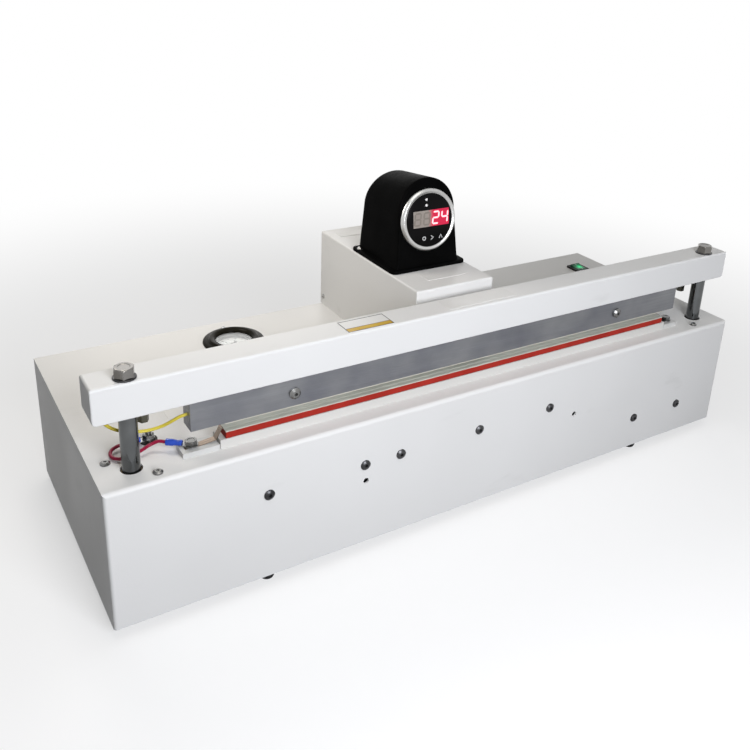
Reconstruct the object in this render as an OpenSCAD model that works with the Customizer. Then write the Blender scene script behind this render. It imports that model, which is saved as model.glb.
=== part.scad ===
// Bench impulse heat sealer: a flat sheet-metal cabinet whose press beam is drawn down by
// two air cylinders on to a lower jaw with a heated ribbon on a silicone pad.
// +X to the operator's right, front face towards -Y, +Z up, floor at Z = 0.

/* [Cabinet] */
// Length of the cabinet cover
body_w = 587; // [585:1:620]
// Depth of the cabinet cover, front to back
body_d = 211; // [209:1:230]
// Height from the underside of the bottom pan to the cover's top
body_h = 106; // [100:1:130]
// Thickness of the cover's sheet
sheet = 1.5; // [1.2:0.1:1.8]
// Outer radius of the long bends
bend_r = 3; // [2.2:0.1:4]
// Outer radius of the upright corners
corner_r = 2.4; // [2:0.1:4]
// Height at which the upper row of front screws sits, above the pan's underside
scr_row_z = 69.5; // [66:0.5:74]
// Height of the lower front screws above the pan's underside
scr_low_z = 30; // [26:0.5:32]
// Distance of the outer front screws from the cabinet's ends
scr_far_in = 111; // [104:0.5:118]
// Distance of the left inner front screw from the centre
scr_pair_x = 105.5; // [98:0.5:114]
// Distance of the middle front screws from the centre
scr_mid_x = 74.5; // [66:0.5:84]
// Distance of the end screws, front and back, from the cabinet's ends
scr_end_in = 54; // [48:0.5:66]
// Distance of the inner back screws from the centre
scr_back_x = 110; // [96:1:118]
// Half distance between the two work-shelf holes
shelf_x = 104.4; // [100:0.5:112]
// Height of the work-shelf holes above the pan's underside
shelf_z = 55.2; // [50:0.2:58]
// Diameter of the work-shelf holes
shelf_hole_d = 4.5; // [4:0.1:5]

/* [Pan and feet] */
// Thickness of the bottom pan
pan_t = 1.6; // [1.2:0.1:2]
// Height of the pan's upturned flanges
pan_flange = 42; // [40:1:44]
// Height of a rubber foot
foot_h = 8.5; // [7:0.5:14]
// Diameter of a foot at the pan
foot_d = 14; // [13:0.5:18]
// Diameter of a foot at the floor
foot_low_d = 11; // [10:0.5:12.5]
// Distance of the left feet's centres from the cabinet's left end
foot_left = 113; // [100:0.5:120]
// Distance of the right feet's centres from the cabinet's right end
foot_right = 99.5; // [94:0.5:118]
// Distance of a foot's centre from the cabinet's front and back
foot_in = 10.5; // [9.5:0.5:14]

/* [Screws] */
// Shank diameter of the cabinet's screws
scr_d = 4; // [3.5:0.1:4.2]
// Head diameter of the cabinet's screws
scr_head_d = 8; // [7:0.1:8.6]
// Head height of the cabinet's screws
scr_head_h = 1.8; // [1.4:0.1:2.4]
// Clearance round a screw in a sheet
scr_gap = 0.2; // [0.1:0.05:0.3]

/* [Press beam] */
// Distance the press beam reaches past a rod's axis
beam_over = 23.7; // [22:0.1:24.4]
// Depth of the press beam
beam_d = 24.9; // [24.5:0.1:27]
// Height of the press beam
beam_h = 25.4; // [24:0.1:32]
// Sheet thickness of the press beam
beam_t = 1.5; // [1.2:0.1:1.5]
// Bend radius of the beam's top edges
beam_r = 2.4; // [1.8:0.1:3]
// Corner radius of the beam's closed ends
beam_end_r = 3.2; // [2:0.1:4]
// Distance from the cabinet's front face to the beam's front face
beam_in = 13.7; // [13.4:0.1:16]
// Height of the beam's underside over the cabinet's top
beam_up = 40.9; // [40:0.1:46]

/* [Rods and cylinders] */
// Diameter of the two lift rods
rod_d = 12; // [11:0.1:12.2]
// Distance of the rods' axes from the cabinet's ends
rod_end = 24.2; // [23.5:0.1:28]
// Distance of the rods from the cabinet's front face
rod_in = 21.6; // [21.4:0.1:24]
// Diameter of the hole round a rod in the cover
rod_hole_d = 14.6; // [14:0.1:16]
// Radial running clearance of the rod in its bush
rod_gap = 0.04; // [0.02:0.01:0.08]
// Outside diameter of the rod bush
bush_d = 18; // [17:0.5:19]
// Height of the cylinder head block
head_h = 14; // [12:1:18]
// Width of the cylinder head block along X
head_w = 38; // [37:0.5:40]
// Depth of the cylinder head block along Y
head_d = 35; // [34:0.5:36]
// Offset of a head screw from the rod along X
head_scr_x = 13.4; // [13:0.1:14]
// Offset of a head screw from the rod along Y
head_scr_y = 12.7; // [12.4:0.1:13]
// Outside diameter of the cylinder barrel
barrel_d = 34; // [33:0.5:35]
// Bore of the cylinder barrel
bore_d = 28; // [27:0.5:29]
// Length of the cylinder barrel, closed end included
barrel_l = 52; // [50:1:56]
// Thickness of the barrel's closed end
barrel_end = 6; // [5:0.5:8]
// Height of the piston
piston_h = 10; // [8:0.5:12]
// Radial running clearance of the piston
piston_gap = 0.06; // [0.03:0.01:0.09]
// Closing stroke of the press beam
stroke = 4.3; // [3:0.1:4.4]
// Wire diameter of the return spring
spring_wire = 2; // [1.6:0.1:2.4]
// Mean diameter of the return spring
spring_d = 21; // [19:0.5:22]
// Turns of the return spring
spring_turns = 5; // [4:1:6]

/* [Beam bolts] */
// Width across flats of the beam bolt's head
bolt_af = 12; // [11:0.1:13]
// Height of the beam bolt's head
bolt_head_h = 6; // [5:0.1:7]
// Shank diameter of the beam bolt
bolt_d = 6; // [5:0.1:8]
// Depth the beam bolt goes into the rod
bolt_in = 18; // [14:1:22]
// Outside diameter of the bolt's washer
washer_d = 15; // [14:0.1:15.6]
// Thickness of the bolt's washer
washer_t = 1.2; // [1:0.1:1.6]

/* [Upper jaw] */
// Distance from a rod's axis to the end of the upper jaw bar
jaw_rod = 38.3; // [37:0.1:44]
// Thickness of the upper jaw bar, front to back
jaw_d = 14; // [12:0.1:15]
// Distance of the jaw bar's underside below the beam's underside
jaw_drop = 21.6; // [20:0.1:22]
// Clearance between the jaw bar and the beam's front wall
jaw_gap = 0.2; // [0.1:0.05:0.4]
// Thickness of the jaw's facing strip
face_t = 1.3; // [1:0.1:1.5]
// Width of the jaw's facing strip
face_d = 12; // [8:0.5:12]
// Distance of the jaw's two front screws from its ends
jaw_scr_in = 75; // [50:1:90]
// Distance of the jaw's front screws below the beam's underside
jaw_scr_z = 11.6; // [10:0.2:13]
// Head diameter of the jaw's front screws
jaw_scr_head_d = 8.6; // [7.5:0.1:9]
// Distance an end carrier reaches past the rod's axis
carrier_over = 15.7; // [14:0.1:18]
// Height of an end carrier
carrier_h = 18; // [14:1:19]

/* [Lower jaw] */
// Distance from the upper jaw bar's left end to the silicone pad's left end
pad_in = 24; // [22:0.5:30]
// Distance from the upper jaw bar's right end to the silicone pad's right end
pad_in_right = 13; // [10:0.5:24]
// Thickness of the silicone pad
pad_t = 5.6; // [5:0.1:5.7]
// Distance of the lower bar's outer screws from the pad's ends
bar_scr_in = 17; // [12:0.5:30]
// Height of the lower jaw's base bar
base_h = 7; // [6.5:0.1:7.1]
// Extra length of the base bar past each end of the pad
base_over = 4; // [3:0.5:4.5]
// Width of the heating ribbon
ribbon_w = 5; // [3:0.5:6]
// Thickness of the heating ribbon
ribbon_t = 0.4; // [0.3:0.05:0.5]
// Thickness of the release tape over the ribbon
tape_t = 0.3; // [0.2:0.05:0.4]
// Distance of the left element terminal past the pad's end
term_left = 22; // [20:0.5:25]
// Distance of the right element terminal past the pad's end
term_right = 13.5; // [13.5:0.5:17]
// Height of an element end block
block_h = 4; // [3.5:0.1:5]

/* [Terminals and leads] */
// Outside diameter of the insulated sleeve of a ring terminal
sleeve_d = 4.3; // [4:0.1:4.6]
// Length of the insulated sleeve
sleeve_l = 11; // [9:0.5:12]
// Diameter of the element lead
lead_d = 2.4; // [2:0.1:2.6]
// Diameter of the sensor lead
sensor_d = 2.2; // [1.8:0.1:2.4]
// Distance of the feed-through stud from the rod's axis along X
stud_rod = 19.3; // [18:0.1:22]
// Distance of the feed-through stud from the cabinet's front face
stud_in = 48.5; // [48:0.5:50]

/* [Pressure gauge] */
// Outside diameter of the gauge's flange
gauge_d = 52; // [50:0.5:56]
// Diameter of the gauge's case below the panel
gauge_case_d = 42; // [40:0.5:43]
// Depth of the gauge's case below the panel
gauge_deep = 28; // [24:1:34]
// Thickness of the gauge's flange
gauge_flange = 2.4; // [2:0.1:3]
// Height of the gauge's inner rim over the flange
gauge_rim = 2.2; // [1.6:0.1:3]
// Distance of the gauge from the cabinet's left end
gauge_end = 153; // [140:0.5:160]
// Distance of the gauge from the cabinet's back
gauge_back = 43.5; // [42:0.5:60]

/* [Power switch] */
// Width of the switch bezel along X
switch_w = 17; // [16:0.5:19]
// Depth of the switch bezel along Y
switch_d = 18.6; // [18:0.2:21]
// Height of the switch bezel over the cover
switch_h = 2; // [1.6:0.1:2.4]
// Width of the rocker along X
rocker_w = 12; // [11:0.5:13]
// Length of the rocker along Y
rocker_d = 13.6; // [13:0.2:14]
// Tilt of the rocker in its ON position
rocker_tilt = 9; // [7:0.5:10]
// Diameter of the rocker's pivot pins
rocker_pin = 2; // [1.8:0.1:2.4]
// Distance of the switch from the cabinet's right end
switch_end = 35.5; // [30:0.5:50]
// Distance of the switch from the cabinet's back
switch_back = 41.2; // [38:0.2:60]

/* [Display housing] */
// Width of the display housing
hous_w = 74.8; // [72:0.2:78]
// Offset of the display housing to the right of the centre
hous_x = 1.9; // [0:0.1:3]
// Height of the display housing over the cabinet
hous_h = 71.5; // [68:0.5:80]
// Distance from the cabinet's front face to the housing's front
hous_in = 48; // [46:0.5:50]
// Distance of the housing's side screws from its back
hous_scr_in = 6; // [5:0.5:8]

/* [Controller pod] */
// Distance from the housing's side to the pod's flange
pod_fl_in = 0.7; // [0.4:0.1:1.2]
// Depth of the pod's flange
pod_fl_d = 70.5; // [69.5:0.5:74]
// Thickness of the pod's flange
pod_fl_t = 3; // [2.5:0.1:3.5]
// Corner radius of the pod's flange
pod_fl_r = 8; // [6:0.5:10]
// Distance from the cabinet's front face to the pod's flange
pod_in = 85.4; // [84:0.2:88]
// Width of the pod's hood
pod_w = 58; // [57:0.2:58.6]
// Height of the hood's front face
pod_h = 76.4; // [74:0.2:80]
// Length of the hood along its foot
pod_l = 62.5; // [60:0.5:64]
// Wall of the hood
pod_t = 2.5; // [2:0.1:2.6]
// Tilt of the hood's face, so that it looks a little upwards
pod_tilt = 7; // [4:0.5:9]
// Height up to which the hood's foot flares
flare_h = 9; // [7:0.5:12]
// Reach of the flare at the hood's foot
flare_w = 3.2; // [2:0.2:3.4]
// Height of the controller's axis up the hood's face
ctrl_z = 41.4; // [40.6:0.2:43]
// Outside diameter of the controller's bezel
bezel_d = 53; // [52:0.2:53.4]
// Width of the bezel's ring
bezel_w = 4.2; // [3.6:0.1:4.8]
// Thickness of the bezel
bezel_t = 3.4; // [2.8:0.1:4]
// Diameter of the controller's case
case_d = 45; // [43:0.5:46]
// Length of the controller's case
case_l = 44; // [38:1:46]
// Height of a digit
digit_h = 11; // [10:0.2:11.6]

/* [Back fittings] */
// Outside length of the air fitting
air_out = 14; // [12:0.5:18]
// Inside diameter of the air fitting's socket
air_d = 6.1; // [6.05:0.01:6.2]
// Depth of the air fitting's socket
air_deep = 12; // [10:0.5:12]
// Distance of the air fitting from the cabinet's right end
air_end = 57.5; // [50:0.5:62]
// Distance of the power inlet from the cabinet's right end
inlet_end = 113.5; // [106:0.5:118]
// Distance of the fuse holder from the cabinet's right end
fuse_end = 153.5; // [150:0.5:160]
// Height of the back fittings above the pan's underside
back_z = 66; // [62:0.5:70]

/* [Hidden] */
$fn = 48;
e = 0.01;

// Heights
z_pan = foot_h;
z_cover = z_pan + pan_t;
z_top = z_pan + body_h;
z_in = z_top - sheet;
z_beam = z_top + beam_up;
z_beam_top = z_beam + beam_h;
z_pad = z_top + base_h;
z_pad_top = z_pad + pad_t;
z_jaw = z_beam - jaw_drop;
z_hous = z_top + hous_h;
z_row = z_pan + scr_row_z;
z_low = z_pan + scr_low_z;
z_shelf = z_pan + shelf_z;
z_back = z_pan + back_z;

// Places along X, measured in from the cabinet's ends
rod_x = body_w / 2 - rod_end;
beam_w = 2 * (rod_x + beam_over);
jaw_w = 2 * (rod_x - jaw_rod);
jaw_scr_x = jaw_w / 2 - jaw_scr_in;
carrier_w = jaw_rod + carrier_over;
pad_w = jaw_w - pad_in - pad_in_right;
pad_x = (pad_in - pad_in_right) / 2;
bar_scr_x = pad_w / 2 - bar_scr_in;
foot_x = [foot_left - body_w / 2, body_w / 2 - foot_right];
stud_x = rod_x - stud_rod;
gauge_x = body_w / 2 - gauge_end;
switch_x = body_w / 2 - switch_end;
air_x = body_w / 2 - air_end;
inlet_x = body_w / 2 - inlet_end;
fuse_x = body_w / 2 - fuse_end;
scr_far_x = body_w / 2 - scr_far_in;
scr_end_x = body_w / 2 - scr_end_in;
row_x = [-scr_far_x, -scr_pair_x, -scr_mid_x, 0, scr_mid_x];
low_x = [scr_far_x, scr_end_x];

// Depths, with the whole part centred on Y = 0
yf = -(body_d + air_out - scr_head_h) / 2;
yb = yf + body_d;
y_beam = yf + beam_in;
y_jaw = y_beam + beam_t + jaw_gap;
y_mid = y_jaw + jaw_d / 2;
y_rod = yf + rod_in;
y_stud = yf + stud_in;
y_gauge = yb - gauge_back;
y_switch = yb - switch_back;
y_hous = yf + hous_in;
y_pod = yf + pod_in;

// Cylinder levels
z_head = z_in - head_h;
z_bar = z_head - barrel_l;
z_floor = z_bar + barrel_end;
piston_up = 1;
z_piston = z_head - piston_up - piston_h;
spigot_d = 8;

// Element terminals
xl = pad_x - pad_w / 2 - term_left;
xr = pad_x + pad_w / 2 + term_right;
z_block = z_top + block_h;
tab_gap = 0.5;

// ---------- plain shapes ----------
module rr(w, d, r) {
    square([w - 2 * r, d], center = true);
    square([w, d - 2 * r], center = true);
    for (i = [-1, 1], j = [-1, 1])
        translate([i * (w / 2 - r), j * (d / 2 - r)]) circle(r);
}

module slab(w, d, h, r) {
    linear_extrude(h) rr(w, d, r);
}

module ring(od, id, h) {
    difference() {
        cylinder(h = h, d = od);
        translate([0, 0, -1]) cylinder(h = h + 2, d = id);
    }
}

// A profile with its two upper corners rounded, standing on y = 0
module hump(w, h, r) {
    translate([-w / 2, 0]) square([w, h - r]);
    translate([-w / 2 + r, 0]) square([w - 2 * r, h]);
    for (i = [-1, 1]) translate([i * (w / 2 - r), h - r]) circle(r);
}

// Folded angle: a leg up from y = 0 to h, bent at radius r into a leg along +X to w
module angle_profile(w, h, t, r) {
    square([t, h - r]);
    translate([r, h - t]) square([w - r, t]);
    intersection() {
        translate([r, h - r]) difference() {
            circle(r);
            circle(r - t);
        }
        translate([0, h - r]) square(r);
    }
}

// Long sheet shell: front and back bends of radius r, upright corners of radius c
module shell_block(w, d, h, r, c) {
    intersection() {
        rotate([90, 0, 90]) translate([0, 0, -w / 2]) linear_extrude(w) hump(d, h, r);
        slab(w, d, h, c);
    }
}

// Button-head screw along -Z with its head's underside at z = 0
module button(head_d, head_h, d, l) {
    difference() {
        union() {
            cylinder(h = head_h * 0.45, d = head_d);
            translate([0, 0, head_h * 0.45])
                cylinder(h = head_h * 0.55, d1 = head_d, d2 = head_d * 0.62);
        }
        translate([0, 0, head_h * 0.4]) cylinder(h = head_h, d = head_d * 0.34, $fn = 6);
    }
    translate([0, 0, -l]) cylinder(h = l + e, d = d);
}

module hex_head(af, h) {
    intersection() {
        cylinder(h = h, d = af / cos(30), $fn = 6);
        union() {
            cylinder(h = h - 1.2, d = af * 1.2);
            translate([0, 0, h - 1.2]) cylinder(h = 1.2, d1 = af * 1.2, d2 = af * 0.82);
        }
    }
}

// Closed tube of radius r swept along points p, with n sides
function unit(v) = v / norm(v);
function tang(p, i) = unit(p[min(i + 1, len(p) - 1)] - p[max(i - 1, 0)]);
module sweep(p, r, n) {
    up = [0, 0, 1];
    pts = [for (i = [0:len(p) - 1]) let (
            t = tang(p, i),
            s = norm(cross(t, up)) > 0.2 ? unit(cross(t, up)) : unit(cross(t, [0, 1, 0])),
            u = cross(s, t))
        for (k = [0:n - 1]) p[i] + r * (cos(360 * k / n) * s + sin(360 * k / n) * u)];
    m = len(p) - 1;
    body = [for (i = [0:m - 1], k = [0:n - 1])
        [i * n + k, (i + 1) * n + k, (i + 1) * n + (k + 1) % n, i * n + (k + 1) % n]];
    low = [for (k = [0:n - 1]) k];
    high = [for (k = [0:n - 1]) m * n + n - 1 - k];
    polyhedron(pts, concat([low], body, [high]));
}

// Smooth line through points p, with s steps to a span
function knot(a, b, c, d, t) = 0.5 * (2 * b + (c - a) * t
    + (2 * a - 5 * b + 4 * c - d) * t * t + (3 * b - a - 3 * c + d) * t * t * t);
function smooth(p, s) = let (q = len(p) - 1) concat(
    [for (i = [0:q - 1], j = [0:s - 1])
        knot(p[max(i - 1, 0)], p[i], p[i + 1], p[min(i + 2, q)], j / s)], [p[q]]);

// ---------- cabinet ----------
module at_front(x, z) {
    translate([x, yf, z]) rotate([90, 0, 0]) children();
}

module at_back(x, z) {
    translate([x, yb, z]) rotate([-90, 0, 0]) children();
}

module front_screw_places() {
    for (x = row_x) at_front(x, z_row) children();
    for (x = low_x) at_front(x, z_low) children();
}

module back_screw_places() {
    for (x = [-scr_end_x, -scr_back_x, scr_back_x, scr_end_x]) at_back(x, z_low) children();
}

module head_screw_places() {
    for (s = [-1, 1], j = [-1, 1])
        translate([s * (rod_x - j * head_scr_x), y_rod - j * head_scr_y, z_top]) children();
}

module bar_screw_places() {
    for (x = [-bar_scr_x, 0, bar_scr_x]) translate([pad_x + x, y_mid, 0]) children();
}

module cabinet_cover() {
    color("whitesmoke") difference() {
        translate([0, yf + body_d / 2, z_cover])
            shell_block(body_w, body_d, z_top - z_cover, bend_r, corner_r);
        translate([0, yf + body_d / 2, z_cover - 1])
            shell_block(body_w - 2 * sheet, body_d - 2 * sheet, z_in - z_cover + 1,
                bend_r - sheet, corner_r - sheet);
        for (s = [-1, 1]) translate([s * rod_x, y_rod, z_in - 1])
            cylinder(h = sheet + 2, d = rod_hole_d);
        head_screw_places() translate([0, 0, -sheet - 1])
            cylinder(h = sheet + 2, d = scr_d + 2 * scr_gap);
        bar_screw_places() translate([0, 0, z_in - 1])
            cylinder(h = sheet + 2, d = scr_d + 2 * scr_gap);
        front_screw_places() translate([0, 0, -sheet - 1])
            cylinder(h = sheet + 2, d = scr_d + 2 * scr_gap);
        back_screw_places() translate([0, 0, -sheet - 1])
            cylinder(h = sheet + 2, d = scr_d + 2 * scr_gap);
        for (s = [-1, 1]) at_front(s * shelf_x, z_shelf) translate([0, 0, -sheet - 1])
            cylinder(h = sheet + 2, d = shelf_hole_d);
        for (x = [xl, xr]) translate([x, y_mid, z_in - 1])
            cylinder(h = sheet + 2, d = scr_d + 2 * scr_gap);
        translate([-stud_x, y_stud, z_in - 1]) cylinder(h = sheet + 2, d = bush_hole_d);
        translate([-gauge_x, y_gauge, z_in - 1])
            cylinder(h = sheet + 2, d = gauge_case_d + 0.6);
        for (a = gauge_angles) translate([-gauge_x, y_gauge, z_in - 1]) rotate(a)
            translate([gauge_scr_r, 0, 0]) cylinder(h = sheet + 2, d = 2.4);
        translate([switch_x - sw_body_w / 2, y_switch - sw_body_d / 2, z_in - 1])
            cube([sw_body_w, sw_body_d, sheet + 2]);
        translate([hous_x, y_hous + 60, z_in - 1]) cylinder(h = sheet + 2, d = 24);
        for (s = [-1, 1], y = brk_y) translate([hous_x + s * brk_x, y, z_in - 1])
            cylinder(h = sheet + 2, d = brk_scr_d + 2 * scr_gap);
        at_back(air_x, z_back) translate([0, 0, -sheet - 1])
            cylinder(h = sheet + 2, d = air_thread_d + 0.4);
        at_back(inlet_x, z_back) translate([0, 0, -sheet - 1])
            linear_extrude(sheet + 2) rr(inlet_w + 0.4, inlet_h + 0.4, 2.2);
        for (s = [-1, 1]) at_back(inlet_x + s * inlet_scr, z_back)
            translate([0, 0, -sheet - 1]) cylinder(h = sheet + 2, d = 3.4);
        at_back(fuse_x, z_back) translate([0, 0, -sheet - 1])
            cylinder(h = sheet + 2, d = fuse_d + 0.4);
    }
}

module bottom_pan() {
    fw = body_w - 2 * sheet - 12;
    color("white") difference() {
        union() {
            translate([0, yf + body_d / 2, z_pan]) slab(body_w, body_d, pan_t, corner_r);
            for (j = [0, 1])
                translate([-fw / 2, j ? yb - sheet - pan_gap - pan_t : yf + sheet + pan_gap,
                    z_pan]) cube([fw, pan_t, pan_flange]);
        }
        foot_places() translate([0, 0, z_pan - 1]) cylinder(h = pan_t + 2, d = scr_d);
        for (x = low_x) at_front(x, z_low) translate([0, 0, -8])
            cylinder(h = 10, d = scr_d);
        back_screw_places() translate([0, 0, -8]) cylinder(h = 10, d = scr_d);
        translate([core_x, core_y, z_pan - 1]) for (s = [-1, 1])
            translate([s * core_foot, 0, 0]) cylinder(h = pan_t + 2, d = scr_d);
    }
}
pan_gap = 0.2;

module foot_places() {
    for (x = foot_x, y = [yf + foot_in, yb - foot_in]) translate([x, y, 0]) children();
}

module rubber_feet() {
    color("black") foot_places() difference() {
        union() {
            cylinder(h = 1.5, d1 = foot_low_d - 1.5, d2 = foot_low_d);
            translate([0, 0, 1.5]) cylinder(h = foot_h - 1.5, d1 = foot_low_d, d2 = foot_d);
        }
        translate([0, 0, -1]) cylinder(h = foot_h + 2, d = scr_d);
        translate([0, 0, -1]) cylinder(h = foot_seat + 1, d = foot_scr_d);
    }
}
foot_seat = 3.5;
foot_scr_d = 7;

module foot_screws() {
    color("silver") foot_places() {
        translate([0, 0, foot_seat - 2]) cylinder(h = 2, d = foot_scr_d - 0.4);
        translate([0, 0, foot_seat - e]) cylinder(h = z_cover + 3 - foot_seat, d = scr_d);
        translate([0, 0, z_cover]) ring(7.4, scr_d, 2.8);
    }
}

module cover_screws() {
    color("dimgray") {
        front_screw_places() button(scr_head_d, scr_head_h, scr_d, 8);
        back_screw_places() button(scr_head_d, scr_head_h, scr_d, 8);
        for (s = [-1, 1]) at_back(inlet_x + s * inlet_scr, z_back)
            translate([0, 0, inlet_lip]) button(5.6, 1.6, inlet_scr_d, 8);
    }
}

// Folded angle behind the front panel that stiffens the top under the lower jaw
rail_t = 2.5;
rail_over = 10;
rail_w = 2 * (bar_scr_x + pad_x + rail_over);
rail_leg = 22;
rail_low = 12;
module front_rail() {
    zt = z_in;
    y0 = yf + sheet + pan_gap;
    color("silver") difference() {
        translate([-rail_w / 2, y0, z_row - rail_low]) rotate([90, 0, 90])
            linear_extrude(rail_w)
                angle_profile(y_jaw + jaw_d + 2 - y0, zt - z_row + rail_low, rail_t, bend_r);
        for (x = row_x) at_front(x, z_row) translate([0, 0, -8])
            cylinder(h = 10, d = scr_d);
        for (s = [-1, 1]) at_front(s * shelf_x, z_shelf) translate([0, 0, -8])
            cylinder(h = 10, d = shelf_hole_d);
        bar_screw_places() translate([0, 0, zt - rail_t - 1])
            cylinder(h = rail_t + 2, d = scr_d + 2 * scr_gap);
    }
}

// ---------- lower jaw ----------
module lower_jaw_bar() {
    w = pad_w + 2 * base_over;
    color("gainsboro") difference() {
        translate([pad_x - w / 2, y_jaw, z_top]) cube([w, jaw_d, base_h]);
        bar_screw_places() translate([0, 0, z_top - 1]) cylinder(h = 5, d = scr_d);
    }
}

module lower_bar_screws() {
    color("silver") bar_screw_places() {
        translate([0, 0, z_in - rail_t - 3]) hex_head(7, 3);
        translate([0, 0, z_in - rail_t - e]) cylinder(h = rail_t + sheet + 4 + e, d = scr_d);
    }
}

module silicone_pad() {
    color("firebrick") translate([pad_x - pad_w / 2, y_jaw, z_pad])
        cube([pad_w, jaw_d, pad_t]);
}

// Ribbon along the pad, sloping down at each end to a flat tab under the terminal screw
module ribbon_line() {
    al = pad_x - pad_w / 2;
    ar = pad_x + pad_w / 2;
    over = base_over + 1;
    t = ribbon_t;
    zt = z_pad_top;
    zb = z_block;
    polygon([[xl - 5, zb], [xl + 6.5, zb], [al - over, zb + 1.2], [al - 1, zt],
        [ar + 1, zt], [ar + over, zb + 1.2], [xr - 6.5, zb], [xr + 5, zb],
        [xr + 5, zb + t], [xr - 6.5, zb + t], [ar + over + 0.6, zb + 1.2 + t],
        [ar + 1.4, zt + t], [al - 1.4, zt + t], [al - over - 0.6, zb + 1.2 + t],
        [xl + 6.5, zb + t], [xl - 5, zb + t]]);
}

module heating_ribbon() {
    color("tan") difference() {
        translate([0, y_mid + ribbon_w / 2, 0]) rotate([90, 0, 0])
            linear_extrude(ribbon_w) ribbon_line();
        for (x = [xl, xr]) translate([x, y_mid, z_block - 1]) cylinder(h = 3, d = 4);
    }
}

module release_tape() {
    t = ribbon_t + tape_t;
    color("burlywood") difference() {
        translate([pad_x - pad_w / 2, y_jaw, z_pad_top]) cube([pad_w, jaw_d, t]);
        translate([pad_x - pad_w / 2 - 1, y_mid - ribbon_w / 2 - 0.1, z_pad_top - 1])
            cube([pad_w + 2, ribbon_w + 0.2, ribbon_t + 1]);
    }
}

module element_end_blocks() {
    a = pad_w / 2 + base_over + tab_gap;
    color("saddlebrown") for (s = [[xl - 8, pad_x - a], [pad_x + a, xr + 8]]) difference() {
        translate([s[0], y_jaw, z_top]) cube([s[1] - s[0], jaw_d, block_h]);
        for (x = [xl, xr]) translate([x, y_mid, z_top - 1]) cylinder(h = 9, d = scr_d);
    }
}

// Washer-faced hex screw through the tab, the block and the cover, with a nut below
tongue_t = 0.8;
module terminal_screws() {
    color("silver") for (i = [0, 1]) translate([i ? xr : xl, y_mid, z_block + ribbon_t]) {
        up = i ? 0 : tongue_t;
        translate([0, 0, up]) {
            cylinder(h = 0.8, d = 9.6);
            translate([0, 0, 0.8 - e]) hex_head(7, 3);
        }
        translate([0, 0, -(z_block - z_in) - ribbon_t - 4])
            cylinder(h = z_block - z_in + ribbon_t + 4 + up + e, d = scr_d);
        translate([0, 0, -(z_block - z_in) - ribbon_t - 3.2]) ring(8, scr_d, 3.2);
    }
}

// Ring terminal with its ring at the origin and its sleeve along +X
module ring_terminal() {
    difference() {
        union() {
            cylinder(h = tongue_t, d = 8.4);
            translate([0, -2.2, 0]) cube([7, 4.4, tongue_t]);
        }
        translate([0, 0, -1]) cylinder(h = 3, d = scr_d);
    }
    translate([6, 0, sleeve_d / 2 - 0.4]) rotate([0, 90, 0]) difference() {
        union() {
            cylinder(h = sleeve_l, d = sleeve_d);
            translate([0, 0, sleeve_l * 0.55]) cylinder(h = sleeve_l * 0.45, d = sleeve_d + 0.5);
        }
        translate([0, 0, 3]) cylinder(h = sleeve_l, d = lead_d + 2 * lead_gap);
    }
}

function place(p, a, x) = p + [cos(a) * x, sin(a) * x, 0];
term_a = 145;
stud_a = 186;
bush_up = 1.4;
bush_hole_d = 8;
z_t1 = z_block + ribbon_t;
z_t2 = z_top + bush_up;

module ring_terminals() {
    color("royalblue") {
        translate([xl, y_mid, z_t1]) rotate(term_a) ring_terminal();
        translate([-stud_x, y_stud, z_t2]) rotate(stud_a) ring_terminal();
    }
}

// Element lead, from the left element terminal round behind the rod to the feed stud
lead_gap = 0.1;
lead_in = 6 + 3;
lead_out = lead_in + sleeve_l - 3 + 0.3;
lead_z = sleeve_d / 2 - 0.4;
module element_lead() {
    a = place([xl, y_mid, z_t1 + lead_z], term_a, lead_in);
    a2 = place([xl, y_mid, z_t1 + lead_z], term_a, lead_out);
    b = place([-stud_x, y_stud, z_t2 + lead_z], stud_a, lead_in);
    b2 = place([-stud_x, y_stud, z_t2 + lead_z], stud_a, lead_out);
    a3 = place([xl, y_mid, z_t1 + lead_z], term_a, lead_out + 5);
    b3 = place([-stud_x, y_stud, z_t2 + lead_z], stud_a, lead_out + 4.5);
    x = -rod_x;
    mid = [[x + 16.6, y_rod + 14.6, z_top + 4.3], [x + 11.3, y_rod + 12.8, z_top + 3.4],
        [x + 6, y_rod + 11, z_top + 2.7], [x + 0.8, y_rod + 10.1, z_top + 2.2],
        [x - 4.2, y_rod + 10.9, z_top + 2], [x - 7.7, y_rod + 14.1, z_top + 2],
        [x - 8.5, y_rod + 18.4, z_top + 2.2], [x - 6.5, y_rod + 22.6, z_top + 2.6]];
    p = concat([a], smooth(concat([a2, a3], mid, [b3, b2]), 3), [b]);
    color("crimson") sweep(p, lead_d / 2, 8);
}

module feed_bush() {
    color([0.1, 0.1, 0.1]) translate([-stud_x, y_stud, z_top]) difference() {
        union() {
            cylinder(h = bush_up, d = 12);
            translate([0, 0, -sheet - 2]) cylinder(h = sheet + 2 + e, d = bush_hole_d);
            translate([0, 0, -sheet - 3]) cylinder(h = 3, d = 10.5);
        }
        translate([0, 0, -10]) cylinder(h = 20, d = scr_d);
    }
}

module feed_stud() {
    color("silver") translate([-stud_x, y_stud, z_t2]) {
        translate([0, 0, -14]) cylinder(h = 14 + tongue_t + 5.6, d = scr_d);
        translate([0, 0, tongue_t]) ring(8.6, scr_d, 0.8);
        translate([0, 0, tongue_t + 0.8]) difference() {
            hex_head(7, 3.2);
            translate([0, 0, -1]) cylinder(h = 6, d = scr_d);
        }
        translate([0, 0, -bush_up - sheet - 3 - 3.2]) ring(8, scr_d, 3.2);
    }
}

// ---------- air cylinders ----------
module at_rods() {
    for (s = [-1, 1]) translate([s * rod_x, y_rod, 0]) children();
}

module head_screws() {
    color("silver") head_screw_places() button(6.8, 1.8, scr_d, 13);
}

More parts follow.
